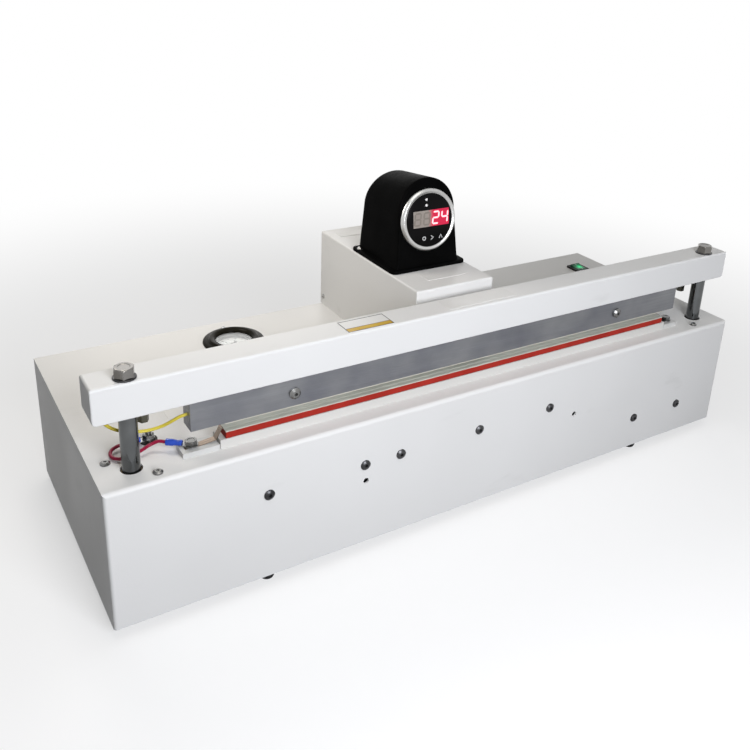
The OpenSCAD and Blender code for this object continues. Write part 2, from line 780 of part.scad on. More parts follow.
module cylinder_heads() {
    color("dimgray") difference() {
        at_rods() translate([-head_w / 2, -head_d / 2, z_head])
            cube([head_w, head_d, head_h]);
        at_rods() translate([0, 0, z_head - 1]) cylinder(h = head_h + 2, d = bush_d);
        head_screw_places() translate([0, 0, -sheet - 15]) cylinder(h = 20, d = scr_d);
    }
}

module rod_bushes() {
    color("peru") at_rods() translate([0, 0, z_head])
        ring(bush_d, rod_d + 2 * rod_gap, head_h);
}

module cylinder_barrels() {
    color("silver") at_rods() difference() {
        translate([0, 0, z_bar]) cylinder(h = barrel_l, d = barrel_d);
        translate([0, 0, z_floor]) cylinder(h = barrel_l, d = bore_d);
    }
}

module return_springs() {
    z0 = z_floor + spring_wire / 2 + 0.2;
    l = z_piston - z_floor - spring_wire - 0.4;
    n = spring_turns * 16;
    color("gray") at_rods() sweep([for (i = [0:n]) let (
            u = i / n,
            w = max(0, min(1, (u * spring_turns - 0.9) / (spring_turns - 1.8))))
        [spring_d / 2 * cos(22.5 * i), spring_d / 2 * sin(22.5 * i),
            z0 + spring_wire * 0.55 * min(1, u * spring_turns / 0.9)
            + (l - spring_wire * 1.1) * w
            + spring_wire * 0.55 * max(0, (u * spring_turns - spring_turns + 0.9) / 0.9)]],
        spring_wire / 2, 8);
}

// ---------- inside the cabinet ----------
core_mid = 60;
core_front = 121.6;
core_x = -core_mid;
core_y = yf + core_front;
core_w = 84;
core_d = 54;
core_h = 60;
core_foot = core_w / 2 + 8;
core_win = 18;
core_win_x = 19;
coil_gap = 0.2;
module transformer_core() {
    color("gray") difference() {
        union() {
            translate([core_x - core_w / 2, core_y - core_d / 2, z_cover])
                cube([core_w, core_d, core_h]);
            translate([core_x - core_foot - 8, core_y - 15, z_cover])
                cube([2 * core_foot + 16, 30, 2]);
        }
        for (s = [-1, 1]) translate([core_x + s * core_win_x - core_win / 2,
            core_y - core_d / 2 - 1, z_cover + 15]) cube([core_win, core_d + 2, core_h - 30]);
        for (s = [-1, 1]) translate([core_x + s * core_foot, core_y, z_cover - 1])
            cylinder(h = 4, d = scr_d);
    }
}

module transformer_coil() {
    w = 2 * (core_win_x + core_win / 2) - 1;
    leg = 2 * (core_win_x - core_win / 2 + coil_gap);
    color("goldenrod") difference() {
        translate([core_x - w / 2, core_y - core_d / 2 - 12, z_cover + 16])
            cube([w, core_d + 24, core_h - 32]);
        translate([core_x - leg / 2, core_y - core_d / 2 - coil_gap, z_cover + 10])
            cube([leg, core_d + 2 * coil_gap, core_h]);
    }
}

valve_w = 28;
valve_d = 48;
valve_h = 26;
valve_in = 73.3;
valve_x = rod_x - valve_in;
valve_y = core_y + 10;
module solenoid_valve() {
    color("darkslategray") translate([valve_x, valve_y, z_cover]) {
        translate([-valve_w / 2, -valve_d / 2, 0]) cube([valve_w, valve_d, valve_h]);
        translate([-valve_w / 2 + 1, -valve_w / 2, valve_h - e])
            cube([valve_w - 2, valve_w, valve_h - 2]);
        for (s = [-1, 1]) translate([-valve_w / 2, s * valve_d / 4, valve_w / 2])
            rotate([0, -90, 0]) ring(9, 5, 8);
    }
}

board_x = 70;
board_w = 90;
board_d = 70;
board_up = 8;
module control_board() {
    color("darkgreen") translate([board_x, core_y, z_cover + board_up]) {
        translate([-board_w / 2, -board_d / 2, 0]) cube([board_w, board_d, 1.6]);
        for (i = [-1, 1], j = [-1, 1])
            translate([i * (board_w / 2 - 5), j * (board_d / 2 - 5), -board_up])
                cylinder(h = board_up + e, d = 6);
        translate([-30, -20, 1.6 - e]) cube([20, 16, 14]);
        translate([5, -22, 1.6 - e]) cube([30, 12, 10]);
        translate([-34, 18, 1.6 - e]) cube([60, 10, 12]);
    }
}

// ---------- back fittings ----------
air_thread_d = 12;
module air_fitting() {
    color("silver") at_back(air_x, z_back) difference() {
        union() {
            cylinder(h = 4, d = 15 / cos(30), $fn = 6);
            translate([0, 0, 4 - e]) cylinder(h = air_out - 4 + e, d = 12.4);
            translate([0, 0, -12]) cylinder(h = 12 + e, d = air_thread_d);
            translate([0, 0, -sheet - 4]) cylinder(h = 4, d = 17 / cos(30), $fn = 6);
        }
        translate([0, 0, air_out - air_deep]) cylinder(h = air_deep + 1, d = air_d);
        translate([0, 0, -13]) cylinder(h = air_out + 13, d = 4);
    }
}

inlet_w = 27;
inlet_h = 20;
inlet_scr = 20;
inlet_scr_d = 3;
inlet_lip = 2.4;
module power_inlet() {
    color([0.12, 0.12, 0.12]) at_back(inlet_x, z_back) {
        difference() {
            union() {
                linear_extrude(inlet_lip) rr(50, 24, 4);
                translate([0, 0, -22]) linear_extrude(22 + e) rr(inlet_w, inlet_h, 2);
            }
            translate([0, 0, -18]) linear_extrude(22) rr(inlet_w - 3.2, inlet_h - 3.2, 2);
            for (s = [-1, 1]) translate([s * inlet_scr, 0, -1]) cylinder(h = 5, d = 3.4);
        }
        for (x = [-7, 0, 7]) translate([x - 1, x == 0 ? -4 : 0, -19]) cube([2, 4, 14]);
    }
}

fuse_d = 12;
module fuse_holder() {
    color([0.15, 0.15, 0.15]) at_back(fuse_x, z_back) {
        cylinder(h = 2, d = 16);
        translate([0, 0, 2 - e]) cylinder(h = 6, d1 = 12, d2 = 11);
        translate([0, 0, -26]) cylinder(h = 26 + e, d = fuse_d);
        translate([0, 0, -sheet - 3]) ring(17, fuse_d - e, 3);
    }
}

// ---------- pressure gauge ----------
gauge_angles = [90, 210, 330];
gauge_scr_r = gauge_case_d / 2 + 2.8;
gauge_floor = 6;
gauge_wall = 1.6;
spindle_d = 2.3;
spindle_hole = spindle_d + 0.1;
bearing = 1.5;
module at_gauge(z) {
    translate([-gauge_x, y_gauge, z]) children();
}

module gauge_case() {
    color([0.13, 0.12, 0.1]) at_gauge(z_top) difference() {
        union() {
            cylinder(h = gauge_flange, d = gauge_d);
            translate([0, 0, -gauge_deep]) cylinder(h = gauge_deep + e, d = gauge_case_d);
            translate([0, 0, -gauge_deep - 12]) cylinder(h = 12 + e, d = 10);
            translate([0, 0, -gauge_deep - 4]) cylinder(h = 4, d = 14, $fn = 6);
        }
        translate([0, 0, -gauge_floor]) cylinder(h = 20, d = gauge_case_d - 2 * gauge_wall);
        translate([0, 0, -gauge_floor - bearing]) cylinder(h = bearing + 1, d = spindle_hole);
        for (a = gauge_angles) rotate(a) translate([gauge_scr_r, 0, -2])
            cylinder(h = 8, d = 2);
    }
}

module gauge_bezel() {
    r = gauge_case_d / 2 - gauge_wall;
    color("black") at_gauge(z_top + gauge_flange) rotate_extrude() polygon([
        [r - 2.2, -0.4], [r - 2.2, gauge_rim - 0.8], [r - 1.4, gauge_rim],
        [r + 0.4, gauge_rim], [r + 1.8, gauge_rim - 0.9], [r + 2.2, 0], [r, 0],
        [r, -0.4]]);
}

module gauge_dial() {
    color("white") at_gauge(z_top - gauge_floor) {
        difference() {
            cylinder(h = 1, d = gauge_case_d - 2 * gauge_wall);
            translate([0, 0, -1]) cylinder(h = 3, d = spindle_hole);
        }
    }
}

module gauge_lens() {
    r = gauge_case_d / 2 - gauge_wall;
    color([0.8, 0.9, 0.95, 0.3]) at_gauge(z_top + gauge_flange - 2) cylinder(h = 1.6, r = r);
}

module gauge_screws() {
    color("silver") at_gauge(z_top + gauge_flange) for (a = gauge_angles) rotate(a)
        translate([gauge_scr_r, 0, 0]) button(3.4, 1.2, 2, 6);
}

module gauge_needle() {
    color("black") at_gauge(z_top - gauge_floor) {
        translate([0, 0, -bearing + 0.3]) cylinder(h = bearing + 2.3, d = spindle_d);
        translate([0, 0, 1.4]) cylinder(h = 1.2, d = 5);
        rotate(225) translate([0, 0, 1.6]) linear_extrude(0.6)
            polygon([[-5, -0.9], [13.5, -0.35], [13.5, 0.35], [-5, 0.9]]);
    }
}

// ---------- power switch ----------
sw_wall = 0.35;
sw_body_w = rocker_w + 3.2;
sw_body_d = rocker_d + 3.2;
sw_deep = 18;
sw_pin_z = -1.6;
module at_switch() {
    translate([switch_x, y_switch, z_top]) children();
}

module switch_body() {
    color("black") at_switch() difference() {
        union() {
            slab(switch_w, switch_d, switch_h, 1.5);
            translate([-sw_body_w / 2 + 0.1, -sw_body_d / 2 + 0.1, -sw_deep])
                cube([sw_body_w - 0.2, sw_body_d - 0.2, sw_deep + e]);
        }
        translate([-rocker_w / 2 - sw_wall, -rocker_d / 2 - 2 * sw_wall, -8])
            cube([rocker_w + 2 * sw_wall, rocker_d + 4 * sw_wall, 14]);
        translate([0, 0, sw_pin_z]) rotate([0, 90, 0])
            cylinder(h = rocker_w + 2.6, d = rocker_pin + 0.1, center = true);
    }
}

// Rocker whose two top faces meet in a shallow V over the pivot
module rocker_solid() {
    a = rocker_tilt;
    l = rocker_d / 2;
    top = switch_h - sw_pin_z + 0.6;
    rotate([90, 0, 90]) translate([0, 0, -rocker_w / 2]) linear_extrude(rocker_w)
        polygon([[-l, top + l * tan(a)], [0, top], [l, top + l * tan(a)],
            [l - 0.9, -1], [2.4, -2.4], [-2.4, -2.4], [-l + 0.9, -1]]);
    rotate([0, 90, 0]) cylinder(h = rocker_w + 2.2, d = rocker_pin, center = true);
}

module power_rocker() {
    color("limegreen") at_switch() translate([0, 0, sw_pin_z]) rotate([rocker_tilt, 0, 0])
        rocker_solid();
}

// ---------- display housing ----------
brk_t = 1.5;
brk_h = 14;
brk_l = 120;
brk_leg = 15;
brk_scr_d = 3;
brk_x = hous_w / 2 - sheet - 8;
brk_y = [y_hous + 24, y_hous + 104];
hous_len = yb - y_hous;
z_brk = z_top + 8;
module housing_sides() {
    for (s = [-1, 1], y = [y_hous + 30, yb - hous_scr_in])
        translate([hous_x + s * hous_w / 2, y, z_brk]) rotate([0, s * 90, 0]) children();
}

module display_housing() {
    color("whitesmoke") difference() {
        translate([hous_x - hous_w / 2, y_hous, z_top]) rotate([90, 0, 90])
            linear_extrude(hous_w) {
                square([hous_len, hous_h - bend_r]);
                translate([bend_r, 0]) square([hous_len - 2 * bend_r, hous_h]);
                translate([bend_r, hous_h - bend_r]) circle(bend_r);
                translate([hous_len - bend_r, hous_h - bend_r]) circle(bend_r);
            }
        translate([hous_x - hous_w / 2 + sheet, y_hous + sheet, z_top - 1])
            cube([hous_w - 2 * sheet, hous_len - 2 * sheet, hous_h - sheet + 1]);
        housing_sides() translate([0, 0, -sheet - 1])
            cylinder(h = sheet + 2, d = brk_scr_d + 2 * scr_gap);
        translate([hous_x, y_pod + 36, z_hous - sheet - 1]) cylinder(h = sheet + 2, d = 20);
        pod_screw_places() translate([0, 0, -10]) cylinder(h = 12, d = pod_scr_d);
    }
}

module housing_brackets() {
    y0 = yb - hous_scr_in - brk_l + 5 - sheet;
    color("silver") difference() {
        for (s = [-1, 1]) {
            translate([hous_x + s * (hous_w / 2 - sheet - brk_t / 2) - brk_t / 2, y0, z_top])
                cube([brk_t, brk_l, brk_h]);
            translate([hous_x + s * (hous_w / 2 - sheet - brk_leg / 2) - brk_leg / 2, y0,
                z_top]) cube([brk_leg, brk_l, brk_t]);
        }
        housing_sides() translate([0, 0, -12]) cylinder(h = 14, d = brk_scr_d);
        for (s = [-1, 1], y = brk_y) translate([hous_x + s * brk_x, y, z_top - 1])
            cylinder(h = 5, d = brk_scr_d);
    }
}

module housing_screws() {
    color("silver") {
        housing_sides() button(4.6, 1.2, brk_scr_d, 5);
        for (s = [-1, 1], y = brk_y) translate([hous_x + s * brk_x, y, z_top + brk_t])
            button(5, 1.4, brk_scr_d, 8);
    }
}

// ---------- controller pod ----------
pod_fl_w = hous_w - 2 * pod_fl_in;
pod_scr_d = 3;
pod_scr_head = 5.2;
pod_scr_x = pod_fl_w / 2 - 3.4;
pod_scr_y = y_pod + pod_fl_d - 9.9;
pod_face = 3.2;
z_pod = z_hous + pod_fl_t;
module pod_screw_places() {
    for (s = [-1, 1]) translate([hous_x + s * pod_scr_x, pod_scr_y, z_pod]) children();
}

// Local frame of the hood: face in the plane y = 0, X across, Z up the face
module pod_place() {
    translate([hous_x, y_pod + pod_face, z_hous]) rotate([-pod_tilt, 0, 0]) children();
}

// Arch w wide and h tall, standing on a foot that flares by f
module arch(w, h, f) {
    translate([-w / 2, 0]) square([w, h - w / 2]);
    translate([0, h - w / 2]) circle(w / 2, $fn = 96);
    polygon([[-w / 2 - f, -12], [w / 2 + f, -12], [w / 2 + f, 0], [w / 2, flare_h],
        [-w / 2, flare_h], [-w / 2 - f, 0]]);
}

// The arch carried back from the tilted face, inset by t, to an upright back wall
module hood_solid(t, f, low) {
    intersection() {
        pod_place() rotate([90, 0, 0]) translate([0, 0, -pod_l - 20])
            linear_extrude(pod_l + 20 - t) arch(pod_w - 2 * t, pod_h - t, f);
        translate([hous_x - pod_w, y_pod + pod_face - 20, low])
            cube([2 * pod_w, 20 + pod_l - t, 2 * pod_h]);
    }
}

module pod_shell() {
    color([0.09, 0.09, 0.09]) difference() {
        union() {
            translate([hous_x, y_pod + pod_fl_d / 2, z_hous])
                slab(pod_fl_w, pod_fl_d, pod_fl_t, pod_fl_r);
            hood_solid(0, flare_w, z_hous);
        }
        hood_solid(pod_t, 0, z_hous - 1);
        pod_place() translate([0, 10, ctrl_z]) rotate([90, 0, 0])
            cylinder(h = 30, d = case_d + 0.4);
        pod_screw_places() {
            translate([0, 0, -10]) cylinder(h = 12, d = pod_scr_d);
            cylinder(h = 20, d = pod_scr_head + 1);
        }
    }
}

module pod_screws() {
    color("silver") pod_screw_places() button(pod_scr_head, 1.6, pod_scr_d, 9);
}

module at_face() {
    pod_place() translate([0, 0, ctrl_z]) rotate([90, 0, 0]) children();
}

module controller_case() {
    color([0.15, 0.15, 0.15]) at_face() difference() {
        translate([0, 0, -case_l]) cylinder(h = case_l, d = case_d);
        translate([0, 0, -case_l + 1.6]) cylinder(h = case_l, d = case_d - 3.2);
    }
}

module controller_bezel() {
    r = bezel_d / 2;
    color("silver") at_face() rotate_extrude($fn = 96) polygon([[r - bezel_w, 0], [r, 0],
        [r, 0.8], [r - 1.2, bezel_t - 0.4], [r - 2, bezel_t], [r - bezel_w + 0.5, bezel_t],
        [r - bezel_w, bezel_t - 0.5]]);
}

face_in = 0.9;
module controller_face() {
    color("black") at_face() difference() {
        cylinder(h = bezel_t - face_in, r = bezel_d / 2 - bezel_w);
        translate([win_x, win_z, bezel_t - face_in - 0.5])
            linear_extrude(2) square([win_w, win_h], center = true);
        for (z = [led_z, led_z - led_step]) translate([led_x, z, bezel_t - face_in - 0.5])
            cylinder(h = 2, d = 2);
    }
}

win_w = 35;
win_h = 13.8;
win_x = 2;
win_z = 1.4;
led_x = -2.6;
led_z = 17.2;
led_step = 4.7;
seg_w = 1.4;
digit_step = 8.8;
// Seven bars in the order top, upper left, upper right, middle, lower left, lower right, foot
module bars(on) {
    h = digit_h / 2;
    w = digit_h * 0.5;
    g = 0.12;
    p = [[0, h, 0], [-w / 2, h / 2, 90], [w / 2, h / 2, 90], [0, 0, 0], [-w / 2, -h / 2, 90],
        [w / 2, -h / 2, 90], [0, -h, 0]];
    for (k = on) translate([p[k][0], p[k][1]]) rotate(p[k][2]) {
        l = (p[k][2] == 0 ? w : h) - seg_w - 2 * g;
        square([l, seg_w], center = true);
        polygon([[l / 2 - e, -seg_w / 2], [l / 2 + seg_w / 2, 0], [l / 2 - e, seg_w / 2]]);
        polygon([[-l / 2 + e, -seg_w / 2], [-l / 2 - seg_w / 2, 0], [-l / 2 + e, seg_w / 2]]);
    }
}

// Lit digits on the right, unlit ones on the left, and the two lamps
module display_digits() {
    lit = [[0, 2, 3, 4, 6], [1, 2, 3, 5]];
    z0 = bezel_t - face_in - 0.5;
    color("red") at_face() {
        translate([win_x, win_z, z0]) linear_extrude(0.15)
            square([win_w - 0.2, win_h - 0.2], center = true);
        for (k = [0, 1]) translate([win_x + (k + 0.5) * digit_step, win_z, z0 + 0.15 - e])
            linear_extrude(0.25) bars(lit[k]);
        for (z = [led_z, led_z - led_step]) translate([led_x, z, z0])
            cylinder(h = 0.7, d = 1.9);
    }
}

// Blank plates before and behind the pod and on the cabinet: [offset x, offset y, w, d]
plate_t = 0.25;
pod_plate = [4, -15, 40, 13];
back_plate = [-14, -18, 30, 10];
left_plate = [63, 54, 46, 22];
module plate(place, s) {
    translate(place + [s[0] - s[2] / 2, s[1] - s[3] / 2, 0]) cube([s[2], s[3], plate_t]);
}

module panel_plates() {
    color("ghostwhite") {
        plate([hous_x, y_pod, z_hous], pod_plate);
        plate([hous_x, yb, z_hous], back_plate);
        plate([-rod_x, y_rod, z_top], left_plate);
    }
}

// ---------- press beam ----------
module press_beam() {
    y1 = y_beam + beam_d / 2;
    color("whitesmoke") difference() {
        intersection() {
            translate([0, y1, z_beam]) rotate([90, 0, 90]) translate([0, 0, -beam_w / 2])
                linear_extrude(beam_w) hump(beam_d, beam_h, beam_r);
            translate([0, y1 + beam_d, z_beam + beam_h / 2]) rotate([90, 0, 0])
                linear_extrude(2 * beam_d) rr(beam_w, beam_h, beam_end_r);
        }
        translate([-beam_w / 2 + beam_t, y_beam + beam_t, z_beam - 1])
            cube([beam_w - 2 * beam_t, beam_d - 2 * beam_t, beam_h - beam_t + 1]);
        at_rods() translate([0, 0, z_beam]) cylinder(h = beam_h + 2, d = bolt_d);
    }
}

module beam_bolts() {
    color("silver") at_rods() translate([0, 0, z_beam_top + washer_t]) {
        hex_head(bolt_af, bolt_head_h);
        translate([0, 0, bolt_head_h - e]) intersection() {
            cylinder(h = 1.2, d1 = bolt_af * 0.82, d2 = bolt_af * 0.4);
            cylinder(h = 0.8, d = bolt_af);
        }
        translate([0, 0, -washer_t - beam_t - bolt_in])
            cylinder(h = washer_t + beam_t + bolt_in + e, d = bolt_d);
    }
}

module beam_washers() {
    color("silver") at_rods() translate([0, 0, z_beam_top]) ring(washer_d, bolt_d, washer_t);
}

z_rod_top = z_beam_top - beam_t;
module lift_rods() {
    color("lightgray") at_rods() difference() {
        union() {
            translate([0, 0, z_piston + piston_h])
                cylinder(h = z_rod_top - z_piston - piston_h, d = rod_d);
            translate([0, 0, z_piston - 0.4]) cylinder(h = piston_h + 0.4 + e, d = spigot_d);
        }
        translate([0, 0, z_rod_top - bolt_in]) cylinder(h = bolt_in + 1, d = bolt_d);
    }
}

module pistons() {
    color("black") at_rods() translate([0, 0, z_piston])
        ring(bore_d - 2 * piston_gap, spigot_d, piston_h);
}

// Blocks inside the beam's ends that tie the rods to the jaw bar
module end_carriers() {
    w = beam_d - 2 * beam_t - 0.4;
    y0 = y_beam + beam_t + 0.2;
    x0 = jaw_w / 2;
    color("silver") difference() {
        for (s = [-1, 1]) translate([s > 0 ? x0 : -x0 - carrier_w, y0, z_rod_top - carrier_h])
            cube([carrier_w, w, carrier_h]);
        at_rods() translate([0, 0, z_beam]) cylinder(h = beam_h, d = rod_d);
        carrier_bolt_places() translate([0, 0, -1]) cylinder(h = 12, d = cb_d);
        for (s = [-1, 1]) translate([s > 0 ? x0 + carrier_w - sensor_room : -x0 - carrier_w - 1,
            y0 + w - 7, z_beam - 1]) cube([sensor_room + 1, 8, beam_h]);
    }
}
sensor_room = 9;
cb_d = 4;
cb_x = rod_x - 12.3;
cb_in = rod_in + 9.9;
cb_drop = 14;
cb_af = 6.4;
module carrier_bolt_places() {
    for (s = [-1, 1]) translate([s * cb_x, yf + cb_in, z_rod_top - carrier_h]) children();
}

// Hex standoffs under the carriers
module carrier_bolts() {
    h = z_rod_top - carrier_h - z_beam + cb_drop;
    color("silver") carrier_bolt_places() {
        translate([0, 0, -h]) cylinder(h = h, d = cb_af / cos(30), $fn = 6);
        translate([0, 0, -e]) cylinder(h = 9, d = cb_d);
    }
}

// ---------- upper jaw ----------
module upper_jaw_bar() {
    color("darkgray") difference() {
        translate([-jaw_w / 2, y_jaw, z_jaw]) cube([jaw_w, jaw_d, z_rod_top - z_jaw]);
        for (s = [-1, 1]) translate([s * jaw_scr_x, y_jaw - 1, z_beam - jaw_scr_z])
            rotate([-90, 0, 0]) cylinder(h = 9, d = scr_d);
        translate([-jaw_w / 2 - 1, y_jaw + jaw_d / 2, z_beam - jaw_scr_z])
            rotate([0, 90, 0]) cylinder(h = 13, d = sensor_d + 2 * lead_gap);
    }
}

module jaw_screws() {
    color("silver") for (s = [-1, 1])
        translate([s * jaw_scr_x, y_jaw, z_beam - jaw_scr_z]) rotate([90, 0, 0])
            button(jaw_scr_head_d, 2.6, scr_d, 7);
}

module jaw_facing() {
    color("linen") translate([pad_x - pad_w / 2, y_mid - face_d / 2, z_jaw - face_t])
        cube([pad_w, face_d, face_t]);
}

// Sensor lead, from the jaw bar's left end behind the rod and up into the beam
module sensor_lead() {
    x0 = -jaw_w / 2;
    xr0 = -rod_x;
    z0 = z_beam - jaw_scr_z;
    ym = y_jaw + jaw_d / 2;
    out = [[x0 - 0.5, ym, z0], [x0 - 5.2, ym + 0.5, z0 - 1.1], [x0 - 9.8, ym + 2.2, z0 - 4],
        [x0 - 14.2, ym + 4.6, z0 - 7]];
    up = [[xr0 + 18.3, y_rod + 7.8, z_beam - 20.9], [xr0 + 12, y_rod + 9.4, z_beam - 21.6],
        [xr0 + 5.4, y_rod + 10.6, z_beam - 20.9], [xr0 - 1, y_rod + 11, z_beam - 18.8],
        [xr0 - 6.8, y_rod + 11, z_beam - 15.6], [xr0 - 11.6, y_rod + 11.3, z_beam - 11],
        [xr0 - 14.6, y_rod + 11.7, z_beam - 5.2], [xr0 - 15.7, y_rod + 12, z_beam + 1.4],
        [xr0 - 15.7, y_rod + 12, z_beam + 8], [xr0 - 15.7, y_rod + 12, z_beam + 15]];
    p = concat([[x0 + 10, ym, z0]], smooth(concat(out, up), 3));
    color("gold") sweep(p, sensor_d / 2, 8);
}

// Blank plates on the beam's top: [offset x, offset y, width, depth]
beam_plate_left = [-94.6, -1, 38, 18.4];
beam_plate_mid = [8, 0, 64, 16];
module beam_plates() {
    middle = [0, y_beam + beam_d / 2, z_beam_top];
    color("gold") {
        plate(middle, beam_plate_left);
        plate(middle, beam_plate_mid);
    }
}

cabinet_cover();
bottom_pan();
rubber_feet();
foot_screws();
cover_screws();
front_rail();
lower_jaw_bar();
lower_bar_screws();
silicone_pad();
heating_ribbon();
release_tape();
element_end_blocks();
terminal_screws();
ring_terminals();
element_lead();
feed_stud();
feed_bush();
head_screws();
cylinder_heads();
rod_bushes();
cylinder_barrels();
return_springs();
transformer_core();
transformer_coil();
solenoid_valve();
control_board();
air_fitting();
power_inlet();
fuse_holder();
gauge_case();
gauge_bezel();
gauge_dial();
gauge_lens();
gauge_screws();
switch_body();
display_housing();
housing_brackets();
housing_screws();
pod_shell();
pod_screws();
controller_case();
controller_bezel();
controller_face();
display_digits();
panel_plates();
press_beam();
beam_bolts();
beam_washers();
lift_rods();
pistons();
end_carriers();
carrier_bolts();
upper_jaw_bar();
jaw_screws();
jaw_facing();
sensor_lead();
beam_plates();
power_rocker();
gauge_needle();
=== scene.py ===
# %% [markdown]
# # A bench impulse heat sealer
#
# The machine closes plastic bags. A press beam on two chromed rods comes down on a red
# silicone pad, a thin ribbon on the pad gets hot for a moment, and the film melts shut.
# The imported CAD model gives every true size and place. These cells dress it: they add the
# camera, the light, a finish for each piece, and finer surfaces where moulded plastic,
# folded sheet or soft wire needs a form that plain solids only suggest.

# %% Load the model
import math

import bpy
import numpy as np
from mathutils import Matrix, Vector


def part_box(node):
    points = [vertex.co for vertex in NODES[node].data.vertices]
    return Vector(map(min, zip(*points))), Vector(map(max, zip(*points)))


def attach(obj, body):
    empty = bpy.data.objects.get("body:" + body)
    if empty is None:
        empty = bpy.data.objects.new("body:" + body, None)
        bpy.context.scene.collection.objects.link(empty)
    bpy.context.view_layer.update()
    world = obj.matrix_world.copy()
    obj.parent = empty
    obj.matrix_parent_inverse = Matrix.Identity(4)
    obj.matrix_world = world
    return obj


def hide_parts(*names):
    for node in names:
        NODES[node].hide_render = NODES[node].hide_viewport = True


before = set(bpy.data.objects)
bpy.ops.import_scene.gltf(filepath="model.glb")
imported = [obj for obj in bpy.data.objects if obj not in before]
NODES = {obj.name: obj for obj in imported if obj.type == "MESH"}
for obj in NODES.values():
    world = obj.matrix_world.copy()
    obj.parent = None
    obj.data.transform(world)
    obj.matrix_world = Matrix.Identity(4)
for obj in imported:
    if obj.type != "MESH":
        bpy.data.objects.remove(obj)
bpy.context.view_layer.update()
MM = 0.001


def box(node):
    """Lowest and highest corner of a CAD node, as two arrays in metres."""
    lo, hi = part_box(node)
    return np.array(lo), np.array(hi)


# %% [markdown]
# ## The camera
#
# The machine is seen from above its left front corner, close by, so that its long edges
# converge. A camera can be aimed with a Track To constraint, but a small roll would be
# lost. Here its three axes are worked out from azimuth, elevation and roll instead, and
# written straight into the camera's matrix.

# %% Camera
AZIMUTH, ELEVATION, ROLL = math.radians(-33.552), math.radians(21.193), math.radians(3.051)
PICTURE = 750
FOCAL_PIXELS = 869.91
CENTRE_PIXEL = (408, 272)
FRONT_Y = box("cabinet_cover")[0][1]
EYE = np.array([-389.1 * MM, FRONT_Y - 470.8 * MM, 445.8 * MM])

ahead = np.array([-math.sin(AZIMUTH) * math.cos(ELEVATION),
                  math.cos(AZIMUTH) * math.cos(ELEVATION), -math.sin(ELEVATION)])
level = np.cross(ahead, [0, 0, 1])
level /= np.linalg.norm(level)
above = np.cross(level, ahead)
right = math.cos(ROLL) * level + math.sin(ROLL) * above
up = math.cos(ROLL) * above - math.sin(ROLL) * level

camera_data = bpy.data.cameras.new("camera")
camera_data.sensor_width = 36
camera_data.lens = FOCAL_PIXELS / PICTURE * 36
camera_data.shift_x = (PICTURE / 2 - CENTRE_PIXEL[0]) / PICTURE
camera_data.shift_y = (CENTRE_PIXEL[1] - PICTURE / 2) / PICTURE
camera_data.clip_start = 0.02
camera = bpy.data.objects.new("camera", camera_data)
rows = [[right[k], up[k], -ahead[k], EYE[k]] for k in range(3)]
camera.matrix_world = Matrix(rows + [[0, 0, 0, 1]])
bpy.context.scene.collection.objects.link(camera)
bpy.context.scene.camera = camera
print("lens %.1f mm, eye at" % camera_data.lens, EYE.round(3))

# %% [markdown]
# ## Floor, sky and lamps
#
# A white product picture needs a pale floor that still takes a shadow, and lamps so soft
# that no shadow has a hard edge. The sky and the floor are white only to rays that are
# seen, mirrored or refracted. To rays that light the machine both are dim, so that white
# paint keeps its shape and the end that no lamp reaches stays grey.

# %% Sky
scene = bpy.context.scene
scene.view_settings.view_transform = "Standard"


def seen_directly(tree):
    """1 for camera, glossy and transmission rays and 0 for all others."""
    path = tree.nodes.new("ShaderNodeLightPath")
    found = path.outputs["Is Camera Ray"]
    for kind in ("Is Glossy Ray", "Is Transmission Ray"):
        larger = tree.nodes.new("ShaderNodeMath")
        larger.operation = "MAXIMUM"
        tree.links.new(found, larger.inputs[0])
        tree.links.new(path.outputs[kind], larger.inputs[1])
        found = larger.outputs[0]
    return found


def mixed(tree, share, first, second):
    """A Mix Shader between two shader outputs."""
    node = tree.nodes.new("ShaderNodeMixShader")
    for source, socket in zip((share, first, second), node.inputs):
        tree.links.new(source, socket)
    return node.outputs[0]


world = bpy.data.worlds.new("studio_sky")
scene.world = world
world.use_nodes = True
sky = world.node_tree
sky.nodes.clear()
backgrounds = []
for colour, strength in (((0.9, 0.95, 1, 1), 0.08), ((1, 1, 1, 1), 1.0)):
    node = sky.nodes.new("ShaderNodeBackground")
    node.inputs["Color"].default_value = colour
    node.inputs["Strength"].default_value = strength
    backgrounds.append(node.outputs[0])
sky_out = sky.nodes.new("ShaderNodeOutputWorld")
sky.links.new(mixed(sky, seen_directly(sky), *backgrounds), sky_out.inputs[0])

# %% [markdown]
# The floor is one large square. Near the machine its white is about half a painted
# surface, so the shadow shows, and half a light of strength 1. Further out the light takes
# over, and the floor runs into the sky without an edge.

# %% Floor
FLOOR_HALF, SHADOW_NEAR, SHADOW_FAR, GLOW_NEAR = 12.0, 0.25, 0.95, 0.55
floor_mesh = bpy.data.meshes.new("floor")
floor_corners = [(x * FLOOR_HALF, y * FLOOR_HALF, 0) for x, y in ((-1, -1), (1, -1), (1, 1), (-1, 1))]
floor_mesh.from_pydata(floor_corners, [], [(0, 1, 2, 3)])
floor = bpy.data.objects.new("floor", floor_mesh)
scene.collection.objects.link(floor)
floor_finish = bpy.data.materials.new("pale_floor")
floor_finish.use_nodes = True
tree = floor_finish.node_tree
tree.nodes.remove(tree.nodes["Principled BSDF"])
bounced, painted = (tree.nodes.new("ShaderNodeBsdfDiffuse") for _ in range(2))
bounced.inputs["Color"].default_value = (0.16, 0.16, 0.16, 1)
painted.inputs["Color"].default_value = (0.94, 0.94, 0.94, 1)
glow = tree.nodes.new("ShaderNodeEmission")
where = tree.nodes.new("ShaderNodeTexCoord")
away = tree.nodes.new("ShaderNodeVectorMath")
away.operation = "LENGTH"
fade = tree.nodes.new("ShaderNodeMapRange")
